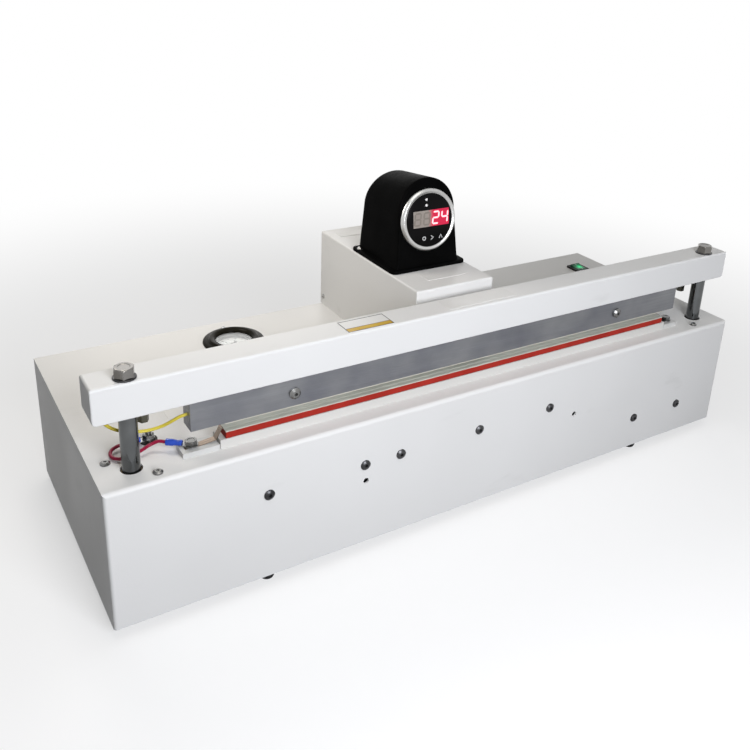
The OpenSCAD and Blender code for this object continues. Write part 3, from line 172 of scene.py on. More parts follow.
fade.interpolation_type = "SMOOTHSTEP"
for socket, value in (("From Min", SHADOW_NEAR), ("From Max", SHADOW_FAR),
                      ("To Min", GLOW_NEAR), ("To Max", 1)):
    fade.inputs[socket].default_value = value
tree.links.new(where.outputs["Object"], away.inputs[0])
tree.links.new(away.outputs["Value"], fade.inputs["Value"])
shown_floor = mixed(tree, fade.outputs["Result"], painted.outputs[0], glow.outputs[0])
floor_shader = mixed(tree, seen_directly(tree), bounced.outputs[0], shown_floor)
tree.links.new(floor_shader, tree.nodes["Material Output"].inputs["Surface"])
floor_mesh.materials.append(floor_finish)

# %% [markdown]
# The strong lamp stands in front, a little left of the middle, and close enough that its
# light falls off towards the right end. A small warm one hangs over the left half, a larger
# one over the whole, and a weak one behind keeps the back readable. The middles of all four
# are to the right of the left end, so that end gets only a little light at a flat angle.


# %% Lamps
def lamp(name, place, aim, size, power, colour):
    """A square area lamp at place, turned so that its face looks at aim."""
    data = bpy.data.lights.new(name, "AREA")
    data.shape = "SQUARE"
    data.size = size
    data.energy = power
    data.color = colour
    light = bpy.data.objects.new(name, data)
    light.location = place
    turn = (Vector(aim) - Vector(place)).to_track_quat("-Z", "Y")
    light.rotation_euler = turn.to_euler()
    light.visible_camera = False
    scene.collection.objects.link(light)
    return light


lamp("front_lamp", (-0.15, -0.8, 0.44), (-0.08, -0.1, 0.1), 0.4, 7.0, (0.925, 0.945, 1.0))
lamp("left_lamp", (-0.25, 0.12, 0.38), (-0.03, 0.05, 0.13), 0.12, 0.56, (1.0, 0.955, 0.89))
lamp("top_lamp", (-0.12, -0.4, 1.25), (-0.05, 0, 0.12), 0.7, 2.7, (1.0, 0.95, 0.87))
lamp("back_lamp", (0.8, 1.9, 0.9), (0, 0, 0.12), 1.2, 6, (1.0, 0.99, 0.97))

# %% [markdown]
# ## Surfaces from arrays
#
# Each new piece below is a skin over a grid of points. The grid comes from a formula in
# two parameters, worked out as whole numpy arrays, which is quicker than placing points
# one by one and keeps the rule of the shape readable. A skin can be closed round its
# columns, as a tube is, and capped at its first and last row.

# %% Skins
def skin(points, wrap_rows=False, wrap_columns=True, caps=True):
    """Faces over an (n, m, 3) grid: cell (i, k) joins points i and i+1 of columns k and
    k+1. Wrapping joins the last row or column to the first; caps close the end rows.
    Where the volume, a sixth of the sum of a . (b x c), is negative, faces are turned."""
    n, m = points.shape[:2]
    rows = np.arange(n if wrap_rows else n - 1)
    columns = np.arange(m if wrap_columns else m - 1)
    i, k = np.meshgrid(rows, columns, indexing="ij")
    i2, k2 = (i + 1) % n, (k + 1) % m
    faces = np.stack([i * m + k, i * m + k2, i2 * m + k2, i2 * m + k], -1).reshape(-1, 4)
    flat = points.reshape(-1, 3)
    a, b, c, d = (flat[faces[:, j]] - flat.mean(0) for j in range(4))
    volume = (a * np.cross(b, c) + a * np.cross(c, d)).sum()
    faces = faces.tolist()
    if caps and wrap_columns and not wrap_rows:
        faces += [list(range(m - 1, -1, -1)), list(range((n - 1) * m, n * m))]
    if volume < 0:
        faces = [f[::-1] for f in faces]
    u, v = np.meshgrid(np.linspace(0, 1, n), np.linspace(0, 1, m), indexing="ij")
    return flat, faces, np.stack([u, v], -1).reshape(-1, 2)


def piece(name, skins, body, stands_for=(), sharp=32):
    """One object from several skins, shaded smooth except at edges over sharp degrees.
    It rides on a CAD body and hides the CAD nodes that it stands for."""
    points, faces, uv, start = [], [], [], 0
    for flat, cells, places in skins:
        points.append(flat)
        uv.append(places)
        faces += [[start + j for j in f] for f in cells]
        start += len(flat)
    mesh = bpy.data.meshes.new(name)
    mesh.from_pydata(np.concatenate(points).tolist(), [], faces)
    layer = mesh.uv_layers.new(name="along_and_round")
    corner = np.zeros(len(mesh.loops), np.int32)
    mesh.loops.foreach_get("vertex_index", corner)
    layer.data.foreach_set("uv", np.concatenate(uv)[corner].astype(np.float32).ravel())
    mesh.shade_smooth()
    mesh.set_sharp_from_angle(angle=math.radians(sharp))
    shown = bpy.data.objects.new(name, mesh)
    scene.collection.objects.link(shown)
    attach(shown, body)
    if stands_for:
        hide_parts(*stands_for)
    print("%-20s %6d faces" % (name, len(mesh.polygons)))
    return shown


# %% [markdown]
# Three rules make most of the pieces: a profile turned about an axis, an outline that
# steps inwards as it climbs, and a circle carried along a smooth line.

# %% Turned, stepped and drawn shapes
def frame_of(axis):
    """Two unit vectors square to axis and to each other."""
    axis = np.array(axis, float) / np.linalg.norm(axis)
    side = np.cross(axis, [0, 0, 1] if abs(axis[2]) < 0.9 else [1, 0, 0])
    side /= np.linalg.norm(side)
    return axis, side, np.cross(axis, side)


def turned(profile, place, axis=(0, 0, 1), steps=64, closed=False):
    """Each (radius, height) pair of the profile becomes a ring:
    point = place + height * axis + radius * (cos t * side + sin t * other)."""
    axis, side, other = frame_of(axis)
    r, h = np.array(profile, float).T * MM
    t = np.linspace(0, 2 * np.pi, steps, endpoint=False)
    ring = np.cos(t)[:, None] * side + np.sin(t)[:, None] * other
    points = np.array(place) + h[:, None, None] * axis + r[:, None, None] * ring
    return skin(points, wrap_rows=closed)


def rounded_rectangle(width, depth, radius, straight=2, bend=8):
    """Outline of a rectangle with round corners, anticlockwise, as (n, 2) points. Points
    on the straight sides crowd towards the corners: their share is (1 - cos) / 2."""
    share = (1 - np.cos(np.linspace(0, np.pi, straight))) / 2
    turn = np.linspace(0, np.pi / 2, bend)
    parts = []
    for q, (sx, sy) in enumerate([(1, 1), (-1, 1), (-1, -1), (1, -1)]):
        corner = np.array([sx * (width / 2 - radius), sy * (depth / 2 - radius)])
        angle = turn + q * np.pi / 2
        arc = corner + radius * np.stack([np.cos(angle), np.sin(angle)], -1)
        following = [(-1, 1), (-1, -1), (1, -1), (1, 1)][q]
        target = np.array([following[0] * (width / 2 - radius), following[1] * (depth / 2 - radius)])
        start = target + radius * np.array([math.cos(angle[-1]), math.sin(angle[-1])])
        line = arc[-1] + share[:, None] * (start - arc[-1])
        parts += [arc, line[1:-1]]
    return np.concatenate(parts)


def stepped(width, depth, radius, steps, place, straight=2):
    """Rows of a rounded rectangle: each (inset, height) of steps shrinks the outline by
    inset on every side and lifts it to height above place. All values in metres."""
    rows = []
    for inset, height in steps:
        line = rounded_rectangle(width - 2 * inset, depth - 2 * inset,
                                 max(radius - inset, 0.0002), straight)
        rows.append(np.column_stack([line, np.full(len(line), height)]))
    return np.array(rows) + np.array(place)


def smooth_line(points, steps=10):
    """Catmull-Rom curve through points: on each span it is the cubic whose slopes at the
    ends are half of the step between the neighbours on either side."""
    p = np.array(points, float)
    p = np.vstack([2 * p[0] - p[1], p, 2 * p[-1] - p[-2]])
    t = np.linspace(0, 1, steps, endpoint=False)[None, :, None]
    a, b, c, d = (p[j:len(p) - 3 + j, None] for j in range(4))
    spans = 0.5 * (2 * b + (c - a) * t + (2 * a - 5 * b + 4 * c - d) * t ** 2
                   + (3 * b - a - 3 * c + d) * t ** 3)
    return np.vstack([spans.reshape(-1, 3), p[-2]])


def drawn(line, radius, square_to, count=16):
    """A circle carried along a line: point = line + radius * (cos a * side + sin a *
    other), where side is square to the line's direction and to a fixed vector."""
    along = np.gradient(line, axis=0)
    along /= np.linalg.norm(along, axis=1, keepdims=True)
    side = np.cross(along, square_to)
    side /= np.linalg.norm(side, axis=1, keepdims=True)
    other = np.cross(side, along)
    a = np.linspace(0, 2 * np.pi, count, endpoint=False)
    r = np.broadcast_to(radius, len(line))[:, None, None]
    round_it = np.cos(a)[:, None] * side[:, None] + np.sin(a)[:, None] * other[:, None]
    return skin(line[:, None] + r * round_it)


# %% [markdown]
# ## Finishes
#
# No real surface is one flat colour. Each finish starts from Blender's Principled shader
# and adds three things, all worked out from the piece's own coordinates: a slow drift of
# the colour, a drift of the roughness that reads as handling and wear, and a fine bump for
# the grain. Only their scale and strength differ between powder coat, rubber and steel.

# %% A finish and its three drifts
def finish(name, colour, rough, metal=0.0, **sockets):
    """A Principled material with its constant sockets set by name."""
    made = bpy.data.materials.new(name)
    made.use_nodes = True
    shader = made.node_tree.nodes["Principled BSDF"]
    shader.inputs["Base Color"].default_value = (*colour, 1)
    shader.inputs["Roughness"].default_value = rough
    shader.inputs["Metallic"].default_value = metal
    for socket, value in sockets.items():
        shader.inputs[socket.replace("_", " ")].default_value = value
    return made


def pattern(made, scale, stretch=(1, 1, 1), detail=3, along="Object"):
    """A noise pattern on the piece's own coordinates, stretched by the given factors."""
    tree = made.node_tree
    where = tree.nodes.new("ShaderNodeTexCoord")
    fit = tree.nodes.new("ShaderNodeMapping")
    fit.inputs["Scale"].default_value = stretch
    noise = tree.nodes.new("ShaderNodeTexNoise")
    noise.inputs["Scale"].default_value = scale
    noise.inputs["Detail"].default_value = detail
    tree.links.new(where.outputs[along], fit.inputs["Vector"])
    tree.links.new(fit.outputs["Vector"], noise.inputs["Vector"])
    return noise.outputs["Fac"]


def ramp(made, source, stops):
    """A colour ramp through (position, colour) stops."""
    node = made.node_tree.nodes.new("ShaderNodeValToRGB")
    while len(node.color_ramp.elements) < len(stops):
        node.color_ramp.elements.new(0.5)
    for element, (position, colour) in zip(node.color_ramp.elements, stops):
        element.position = position
        element.color = (*colour, 1)
    made.node_tree.links.new(source, node.inputs["Fac"])
    return node.outputs["Color"]


def drift_colour(made, low, high, scale, stretch=(1, 1, 1), along="Object"):
    """Base colour drifts between low and high with a noise pattern."""
    shader = made.node_tree.nodes["Principled BSDF"]
    colour = ramp(made, pattern(made, scale, stretch, along=along), [(0.3, low), (0.7, high)])
    made.node_tree.links.new(colour, shader.inputs["Base Color"])


def drift_rough(made, low, high, scale, stretch=(1, 1, 1), along="Object"):
    """Roughness drifts between low and high with a noise pattern."""
    node = made.node_tree.nodes.new("ShaderNodeMapRange")
    node.inputs["From Min"].default_value = 0.3
    node.inputs["From Max"].default_value = 0.7
    node.inputs["To Min"].default_value = low
    node.inputs["To Max"].default_value = high
    tree = made.node_tree
    tree.links.new(pattern(made, scale, stretch, along=along), node.inputs["Value"])
    tree.links.new(node.outputs["Result"], tree.nodes["Principled BSDF"].inputs["Roughness"])


def grain(made, scale, depth, stretch=(1, 1, 1), detail=2, along="Object"):
    """A fine bump of the given depth, in metres."""
    tree = made.node_tree
    bump = tree.nodes.new("ShaderNodeBump")
    bump.inputs["Distance"].default_value = depth
    tree.links.new(pattern(made, scale, stretch, detail, along), bump.inputs["Height"])
    tree.links.new(bump.outputs["Normal"], tree.nodes["Principled BSDF"].inputs["Normal"])


def wear(made, colour, scale, stretch, amount):
    """Sparse marks: where a stretched noise runs over a high threshold, the base colour
    is mixed towards the given one by amount."""
    tree = made.node_tree
    shader = tree.nodes["Principled BSDF"]
    source = shader.inputs["Base Color"].links[0].from_socket
    marks = ramp(made, pattern(made, scale, stretch, 5),
                 [(0.66, (0, 0, 0)), (0.74, (amount, amount, amount))])
    mix = tree.nodes.new("ShaderNodeMix")
    mix.data_type = "RGBA"
    mix.inputs["B"].default_value = (*colour, 1)
    tree.links.new(marks, mix.inputs["Factor"])
    tree.links.new(source, mix.inputs["A"])
    tree.links.new(mix.outputs["Result"], shader.inputs["Base Color"])


# %% [markdown]
# White powder coat is sprayed on as dust and baked. It flows out almost smooth but keeps a
# shallow orange-peel ripple, and years on a bench add grey scuffs along the lower edges.

# %% Coats and plastics
def powder_coat(name, low, high):
    made = finish(name, high, 0.34, IOR=1.22)
    drift_colour(made, low, high, 6)
    drift_rough(made, 0.3, 0.4, 14)
    grain(made, 900, 0.00004)
    wear(made, (0.5, 0.49, 0.47), 26, (0.6, 1, 1.6), 0.16)
    return made


def moulded(name, low, high, rough, bump=0.00003, **sockets):
    made = finish(name, high, rough, **sockets)
    drift_colour(made, low, high, 40)
    drift_rough(made, rough * 0.85, min(1.0, rough * 1.2), 60)
    grain(made, 2600, bump)
    return made


cabinet_white = powder_coat("cabinet_white", (0.705, 0.7, 0.685), (0.75, 0.745, 0.73))
beam_white = powder_coat("beam_white", (0.725, 0.722, 0.71), (0.765, 0.762, 0.75))
bar_cream = powder_coat("bar_cream", (0.56, 0.55, 0.525), (0.62, 0.61, 0.585))
pan_white = powder_coat("pan_white", (0.7, 0.7, 0.69), (0.75, 0.75, 0.74))
pod_black = moulded("pod_black", (0.0015, 0.0015, 0.0015), (0.003, 0.003, 0.003), 0.42, 0.00006,
                    IOR=1.05)
case_black = moulded("case_black", (0.009, 0.008, 0.005), (0.015, 0.013, 0.008), 0.2, 0.00001,
                     IOR=1.12)
gloss_black = moulded("gloss_black", (0.004, 0.004, 0.004), (0.007, 0.006, 0.006), 0.14, 0.000004,
                      IOR=1.12)
nylon_black = moulded("nylon_black", (0.006, 0.006, 0.006), (0.012, 0.012, 0.012), 0.5,
                      IOR=1.25)
nylon_blue = moulded("nylon_blue", (0.012, 0.05, 0.36), (0.02, 0.075, 0.5), 0.22, IOR=1.4)
nylon_white = moulded("nylon_white", (0.5, 0.5, 0.485), (0.58, 0.58, 0.565), 0.4)
foot_rubber = moulded("foot_rubber", (0.006, 0.006, 0.007), (0.014, 0.014, 0.015), 0.62, 0.00008,
                      IOR=1.25)
board_green = moulded("board_green", (0.01, 0.08, 0.03), (0.02, 0.13, 0.05), 0.35)
coil_amber = moulded("coil_amber", (0.45, 0.3, 0.06), (0.6, 0.42, 0.1), 0.5)
plate_white = moulded("plate_white", (0.68, 0.675, 0.655), (0.72, 0.715, 0.7), 0.42, 0.00001)
plate_amber = moulded("plate_amber", (0.46, 0.27, 0.012), (0.58, 0.37, 0.02), 0.4, 0.00001)
dial_white = moulded("dial_white", (0.62, 0.62, 0.6), (0.7, 0.7, 0.68), 0.5, 0.00001)
print("coats and plastics:", len(bpy.data.materials))


# %% [markdown]
# Metal has no colour of its own below the mirror: only what it reflects, tinted. The
# direction of its grain tells how it was made, so each metal stretches the same noise
# another way: along the bar for drawn aluminium, round the ring for a spun bezel, and
# along the rod for a ground one.

# %% Metals
def metal(name, low, high, rough, scale=300, stretch=(1, 1, 1), depth=0.00001, along="Object"):
    made = finish(name, high, rough, 1.0)
    drift_colour(made, low, high, 30)
    drift_rough(made, rough * 0.7, rough * 1.35, scale, stretch, along)
    grain(made, scale, depth, stretch, along=along)
    return made


zinc = metal("zinc_plate", (0.34, 0.345, 0.35), (0.48, 0.485, 0.49), 0.3)
nickel = metal("nickel_plate", (0.3, 0.295, 0.28), (0.46, 0.45, 0.43), 0.2)
dark_nickel = metal("dark_nickel", (0.12, 0.12, 0.12), (0.24, 0.24, 0.235), 0.26)
# Painted shade: the carrier bolts are a dark olive steel, standing for the shade under the beam where
# they sit.
bolt_painted_shade = metal("bolt_steel_painted_shade", (0.05, 0.048, 0.036), (0.13, 0.125, 0.1), 0.3)
black_oxide = metal("black_oxide", (0.035, 0.035, 0.037), (0.075, 0.075, 0.077), 0.34)
dark_chrome = metal("dark_chrome", (0.13, 0.125, 0.12), (0.26, 0.25, 0.235), 0.12)
hard_chrome = metal("hard_chrome", (0.075, 0.08, 0.082), (0.15, 0.155, 0.157), 0.1, 900,
                    (1, 1, 0.05))
drawn_grey = metal("drawn_grey", (0.15, 0.155, 0.175), (0.22, 0.225, 0.235), 0.42, 700,
                   (0.02, 1, 1), 0.00002)
drawn_pale = metal("drawn_pale", (0.5, 0.5, 0.49), (0.6, 0.6, 0.58), 0.36, 700, (0.02, 1, 1),
                   0.00002)
spun_silver = metal("spun_silver", (0.42, 0.42, 0.41), (0.62, 0.62, 0.61), 0.26, 60, (40, 1, 1),
                    0.00002, "UV")
# Painted shade: the rod bushes are near black so that the gap round each rod, where it enters the
# cover, reads as shade.
bush_painted_shade = metal("bush_painted_shade", (0.03, 0.022, 0.015), (0.06, 0.045, 0.03), 0.45)
laminations = metal("laminations", (0.08, 0.085, 0.09), (0.14, 0.145, 0.15), 0.5, 800, (1, 0.02, 1))
print("finishes:", len(bpy.data.materials))

# %% [markdown]
# The soft and lit finishes are few: red silicone with a dusty bloom, tan glass cloth,
# sleeved wire, clear glass, and the plastics that light up. A lit segment is brighter than
# anything around it, so it gets emission next to its own red.

# %% Silicone, cloth, wire, glass and light
red_silicone = moulded("red_silicone", (0.28, 0.018, 0.012), (0.38, 0.028, 0.018), 0.5, 0.00005,
                       IOR=1.2)
wear(red_silicone, (0.46, 0.2, 0.15), 60, (0.3, 1, 1), 0.35)
pale_silicone = moulded("pale_silicone", (0.5, 0.48, 0.4), (0.6, 0.58, 0.5), 0.55)
glass_cloth = moulded("glass_cloth", (0.4, 0.41, 0.36), (0.53, 0.54, 0.48), 0.4, 0.00008)
ribbon_alloy = metal("ribbon_alloy", (0.15, 0.115, 0.09), (0.26, 0.21, 0.17), 0.36, 500, (0.05, 1, 1))
crimson_wire = moulded("crimson_wire", (0.2, 0.003, 0.027), (0.3, 0.006, 0.042), 0.34, IOR=1.3)
yellow_wire = moulded("yellow_wire", (0.55, 0.44, 0.04), (0.7, 0.58, 0.07), 0.4, IOR=1.35)
gauge_glass = finish("gauge_glass", (0.97, 0.98, 0.98), 0.02, Transmission_Weight=1.0, IOR=1.45)
grain(gauge_glass, 40, 0.000001)
green_lens = moulded("green_lens", (0.0, 0.02, 0.008), (0.0, 0.045, 0.018), 0.2, IOR=1.3)
red_light = finish("red_light", (0.9, 0.1, 0.08), 0.4, Emission_Color=(1.0, 0.5, 0.55, 1),
                   Emission_Strength=1.6)
grain(red_light, 3000, 0.00001)
unlit = moulded("unlit_segment", (0.2, 0.175, 0.15), (0.25, 0.22, 0.19), 0.4, IOR=1.2)
lamp_off = moulded("lamp_off", (0.72, 0.7, 0.68), (0.85, 0.83, 0.81), 0.3)
mark_white = moulded("mark_white", (0.66, 0.66, 0.66), (0.8, 0.8, 0.8), 0.5)
mark_black = moulded("mark_black", (0.006, 0.006, 0.006), (0.014, 0.014, 0.014), 0.5)
print("finishes:", len(bpy.data.materials))

# %% [markdown]
# ## Giving the CAD nodes their finish
#
# A node whose shape is right stays as it is and only swaps its plain material. One table
# names the finish of each, and the same cell prints any node that the table missed.

# %% Finishes of the CAD nodes
CAD_FINISH = {
    cabinet_white: "cabinet_cover display_housing",
    bar_cream: "lower_jaw_bar",
    beam_white: "press_beam",
    pan_white: "bottom_pan",
    foot_rubber: "rubber_feet",
    zinc: "foot_screws lower_bar_screws front_rail housing_brackets gauge_screws",
    black_oxide: "cover_screws beam_washers",
    dark_nickel: "head_screws jaw_screws feed_stud",
    # The carrier bolts' dark olive finish is painted shade from the beam above them.
    bolt_painted_shade: "carrier_bolts",
    nickel: "terminal_screws housing_screws air_fitting pod_screws",
    drawn_pale: "cylinder_barrels cylinder_heads end_carriers",
    drawn_grey: "upper_jaw_bar",
    red_silicone: "silicone_pad",
    ribbon_alloy: "heating_ribbon",
    glass_cloth: "release_tape",
    nylon_white: "element_end_blocks",
    nylon_blue: "ring_terminals",
    crimson_wire: "element_lead",
    nylon_black: "feed_bush solenoid_valve power_inlet fuse_holder switch_body pistons",
    # The near-black rod bushes are painted shade for the gap round the rods.
    bush_painted_shade: "rod_bushes",
    laminations: "transformer_core return_springs",
    coil_amber: "transformer_coil",
    board_green: "control_board",
    case_black: "gauge_case controller_case gauge_bezel",
    gloss_black: "controller_face",
    dial_white: "gauge_dial",
    gauge_glass: "gauge_lens",
    pod_black: "pod_shell",
    spun_silver: "controller_bezel",
    red_light: "display_digits",
    plate_white: "panel_plates beam_plates",
    dark_chrome: "beam_bolts",
    hard_chrome: "lift_rods",
    pale_silicone: "jaw_facing",
    yellow_wire: "sensor_lead",
    green_lens: "power_rocker",
    mark_black: "gauge_needle",
}
finish_of = {node: made for made, names in CAD_FINISH.items() for node in names.split()}
for node, made in finish_of.items():
    NODES[node].data.materials.clear()
    NODES[node].data.materials.append(made)
missed = sorted(set(NODES) - set(finish_of))
print("nodes without a finish:", missed)


def add(name, skins, made, body="cabinet", stands_for=()):
    """A new piece with its finish."""
    shown = piece(name, skins, body, stands_for)
    shown.data.materials.append(made)
    return shown


# %% [markdown]
# ## The controller's hood
#
# The hood is one black moulding: an arch that leans back a little, with a rounded front
# edge, walls that draw in towards the top, and a skirt that flares into a flat
# flange with two screws. Plain solids can only suggest it. Here the arch outline is
# carried back from the face, row by row, and each row is inset where an edge is round.

# %% Hood
LEAN = math.radians(7)
flange_lo, flange_hi = box("pod_shell")
HOUSING_X = (flange_lo[0] + flange_hi[0]) / 2
DECK = box("display_housing")[1][2]
FACE_Y = flange_lo[1] + 3.2 * MM
HOOD_WIDTH, HOOD_TALL, HOOD_BACK = 54.6 * MM, 76.4 * MM, 65.4 * MM
WALL_DRAFT, BACK_SPREAD, BACK_SLOPE = 3.2 * MM, 1.6 * MM, 0.035
FLANGE_THICK, FLANGE_ROUND = 3 * MM, 5 * MM
FLARE, FLARE_TALL, RIM_ROUND, BACK_ROUND = 2.4 * MM, 9 * MM, 1.8 * MM, 5 * MM


def leaning(local):
    """From the hood's own frame, face in y = 0, to the machine's: a turn by the lean
    about X and a shift to the foot of the face."""
    x, y, z = local[..., 0], local[..., 1], local[..., 2]
    return np.stack([HOUSING_X + x, FACE_Y + y * math.cos(LEAN) + z * math.sin(LEAN),
                     DECK + z * math.cos(LEAN) - y * math.sin(LEAN)], -1)


def arch(inset, share, back=0.0, count=24):
    """One row of the hood: up the left wall, over a half circle and down the right wall.
    The walls widen evenly towards the foot, and within the flare's height they swing out
    by a further flare * (1 - h / flare height)^2.
    The row lies at a share of the length to the back wall, which at height z is
    (back wall - z (sin lean + slope)) / cos lean, and it widens with that share."""
    radius = HOOD_WIDTH / 2 - inset
    spring = HOOD_TALL - HOOD_WIDTH / 2
    wall = np.linspace(0, 1, count) ** 1.6 * spring
    flare = FLARE * np.clip(1 - wall / FLARE_TALL, 0, 1) ** 2 + WALL_DRAFT * (1 - wall / spring)
    turn = np.linspace(0, np.pi, 2 * count)[1:-1]
    x = np.concatenate([-(radius + flare), -radius * np.cos(turn), (radius + flare)[::-1]])
    z = np.concatenate([wall, spring + radius * np.sin(turn), wall[::-1]])
    length = (HOOD_BACK - z * (math.sin(LEAN) + BACK_SLOPE)) / math.cos(LEAN)
    y = share * length - back
    x = x * (1 + np.clip(share, 0, 1) * BACK_SPREAD / radius)
    foot = (FLANGE_THICK * 0.5 + y * math.sin(LEAN)) / math.cos(LEAN)
    z = np.maximum(z, foot)
    return np.stack([x, y, z], -1)


def quarter(radius, count=5):
    """(inset, drop) pairs of a quarter circle that rounds an edge: inset r (1 - sin t)
    at the rim falls to 0 while the drop r (1 - cos t) grows from 0 to r."""
    t = np.linspace(0, np.pi / 2, count)
    return list(zip(radius * (1 - np.sin(t)), radius * (1 - np.cos(t))))


rim = [arch(inset, 0, -drop) for inset, drop in quarter(RIM_ROUND, 6)]
run = [arch(0, share) for share in np.linspace(0.08, 0.86, 10)]
back = [arch(inset, 1, drop) for inset, drop in quarter(BACK_ROUND, 8)[::-1]]
hood_rows = leaning(np.array(rim + run + back))
flange_steps = [(0.5 * MM, 0), (0, 0.5 * MM), (0, FLANGE_THICK - 1.1 * MM),
                (0.3 * MM, FLANGE_THICK - 0.35 * MM), (1.1 * MM, FLANGE_THICK)]
flange_size = flange_hi - flange_lo
flange_middle = (HOUSING_X, (flange_lo[1] + flange_hi[1]) / 2, DECK)
flange_rows = stepped(flange_size[0], flange_size[1], FLANGE_ROUND, flange_steps, flange_middle)
add("hood", [skin(hood_rows), skin(flange_rows)], pod_black, stands_for=["pod_shell"])


# %% [markdown]
# ## The round controller
#
# A panel controller is a black disc behind a spun silver ring. The ring's bright and dark
# bands come from its section: a flat outer land, a cove and a thin inner lip. The digits
# are bars in front of a tinted window, some lit and some only grey, so each bar is a small
# solid and the light is in the material, not painted on.

# %% Ring and face
CONTROL_UP = 41.4 * MM
RING_R, RING_WIDE, RING_THICK = 26.5, 4.2, 3.4


def on_face(local):
    """From the controller's frame, x right, y up the face and z out of it, to the
    machine's frame, through the hood's."""
    x, y, z = local[..., 0], local[..., 1], local[..., 2]
    return leaning(np.stack([x, -z, CONTROL_UP + y], -1))


def face_turned(profile, steps=128, closed=False):
    """A profile turned about the controller's own axis."""
    flat, faces, uv = turned(profile, (0, 0, 0), steps=steps, closed=closed)
    return on_face(flat), faces, uv


inner = RING_R - RING_WIDE
ring_profile = [(RING_R - 0.3, 0), (RING_R, 0.3), (RING_R, 1.0), (RING_R - 0.5, 2.2),
                (RING_R - 1.3, 3.0), (RING_R - 2.0, RING_THICK), (RING_R - 2.9, RING_THICK - 0.1),
                (inner + 0.7, RING_THICK - 0.5), (inner + 0.2, RING_THICK - 0.6),
                (inner, RING_THICK - 1.0), (inner, 0)]
add("silver_ring", [face_turned(ring_profile, closed=True)], spun_silver,
    stands_for=["controller_bezel"])
GLASS_TOP = RING_THICK - 0.9
disc_profile = [(0.05, 0.1), (inner - 0.05, 0.1), (inner - 0.05, GLASS_TOP - 0.2),
                (inner - 0.4, GLASS_TOP), (0.05, GLASS_TOP + 0.05)]
add("dark_face", [face_turned(disc_profile)], gloss_black, stands_for=["controller_face"])


# %% Digits, lamps and key signs
def prism(outline, low, high, place):
    """An outline of (x, y) points in millimetres, raised from low to high, then moved by
    the place function."""
    line = np.array(outline, float) * MM
    rows = np.array([np.column_stack([line, np.full(len(line), h * MM)]) for h in (low, high)])
    flat, faces, uv = skin(rows)
    return place(flat), faces, uv


def bar(x, y, length, width, upright):
    """A seven-segment bar: a hexagon with 45 degree points at both ends."""
    a, b = length / 2, width / 2
    line = np.array([(-a, 0), (-a + b, -b), (a - b, -b), (a, 0), (a - b, b), (-a + b, b)])
    if upright:
        line = line[:, ::-1] * [1, -1]
    slant = line + [x, y]
    return np.column_stack([slant[:, 0] + 0.1 * slant[:, 1], slant[:, 1]])


DIGIT_TALL, DIGIT_WIDE, BAR, PITCH = 11.2, 5.6, 1.4, 8.8
WINDOW = (2, 1.4, 35, 13.8)
SEGMENTS = {"top": (0, 1, 0), "left_up": (-1, 0.5, 1), "right_up": (1, 0.5, 1), "middle": (0, 0, 0),
            "left_low": (-1, -0.5, 1), "right_low": (1, -0.5, 1), "foot": (0, -1, 0)}
LIT = {"2": ("top", "right_up", "middle", "left_low", "foot"),
       "4": ("left_up", "right_up", "middle", "right_low")}


def digit(centre, names):
    """The bars of one digit, as skins on the face."""
    made = []
    for name in names:
        sx, sy, upright = SEGMENTS[name]
        x, y = sx * DIGIT_WIDE / 2, sy * (DIGIT_TALL - BAR) / 2
        long = (DIGIT_TALL - BAR) / 2 if upright else DIGIT_WIDE
        line = bar(x, y, long - 0.2, BAR, upright) + [WINDOW[0] + centre, WINDOW[1]]
        made.append(prism(line, GLASS_TOP + 0.02, GLASS_TOP + 0.2, on_face))
    return made


lit_bars = digit(PITCH / 2, LIT["2"]) + digit(1.5 * PITCH, LIT["4"])
add("lit_bars", lit_bars, red_light, stands_for=["display_digits"])
add("unlit_bars", digit(-1.5 * PITCH, SEGMENTS) + digit(-PITCH / 2, SEGMENTS), unlit)
LAMP_X, LAMP_RISES, LAMP_R = -2.6, (17.2, 12.5), 1.15
lamp_profile = [(0.05, GLASS_TOP), (LAMP_R, GLASS_TOP + 0.05), (LAMP_R * 0.7, GLASS_TOP + 0.4),
                (0.05, GLASS_TOP + 0.5)]
dome, dome_faces, dome_uv = face_turned(lamp_profile, 24)
middle_of_face = on_face(np.zeros((1, 3)))
domes = [(dome + on_face(np.array([[LAMP_X, y, 0]]) * MM) - middle_of_face, dome_faces, dome_uv)
         for y in LAMP_RISES]
add("status_lamps", domes, lamp_off)


def stroke(points, width):
    """A line of given width through (x, y) points in millimetres: at each point the
    outline steps half the width to either side of the mean direction."""
    p = np.array(points, float)
    along = np.gradient(p, axis=0)
    along /= np.linalg.norm(along, axis=1, keepdims=True)
    out = np.column_stack([-along[:, 1], along[:, 0]]) * width / 2
    return np.concatenate([p + out, (p - out)[::-1]])


KEY_Y, CIRCLE_X, CIRCLE_R, SIGN_LINE = -15, -5.3, 1.4, 0.55
circle_t = np.linspace(0.04, 2 * np.pi - 0.04, 24)
signs = [np.column_stack([CIRCLE_X + CIRCLE_R * np.sin(circle_t), KEY_Y + CIRCLE_R * np.cos(circle_t)]),
         [(1.4, KEY_Y + 1.7), (3.8, KEY_Y), (1.4, KEY_Y - 1.7)],
         [(9.6, KEY_Y - 1.6), (11.2, KEY_Y + 1.7), (12.8, KEY_Y - 1.6)]]
marks = [prism(stroke(line, SIGN_LINE), GLASS_TOP + 0.02, GLASS_TOP + 0.14, on_face) for line in signs]
add("key_signs", marks, mark_white)

# %% [markdown]
# Behind the digits lies a tinted window. Its unlit half is a plain grey, and the light of
# the two lit digits spreads red into the plastic round them. A ramp along X on the
# window's own coordinates gives that without a lamp.

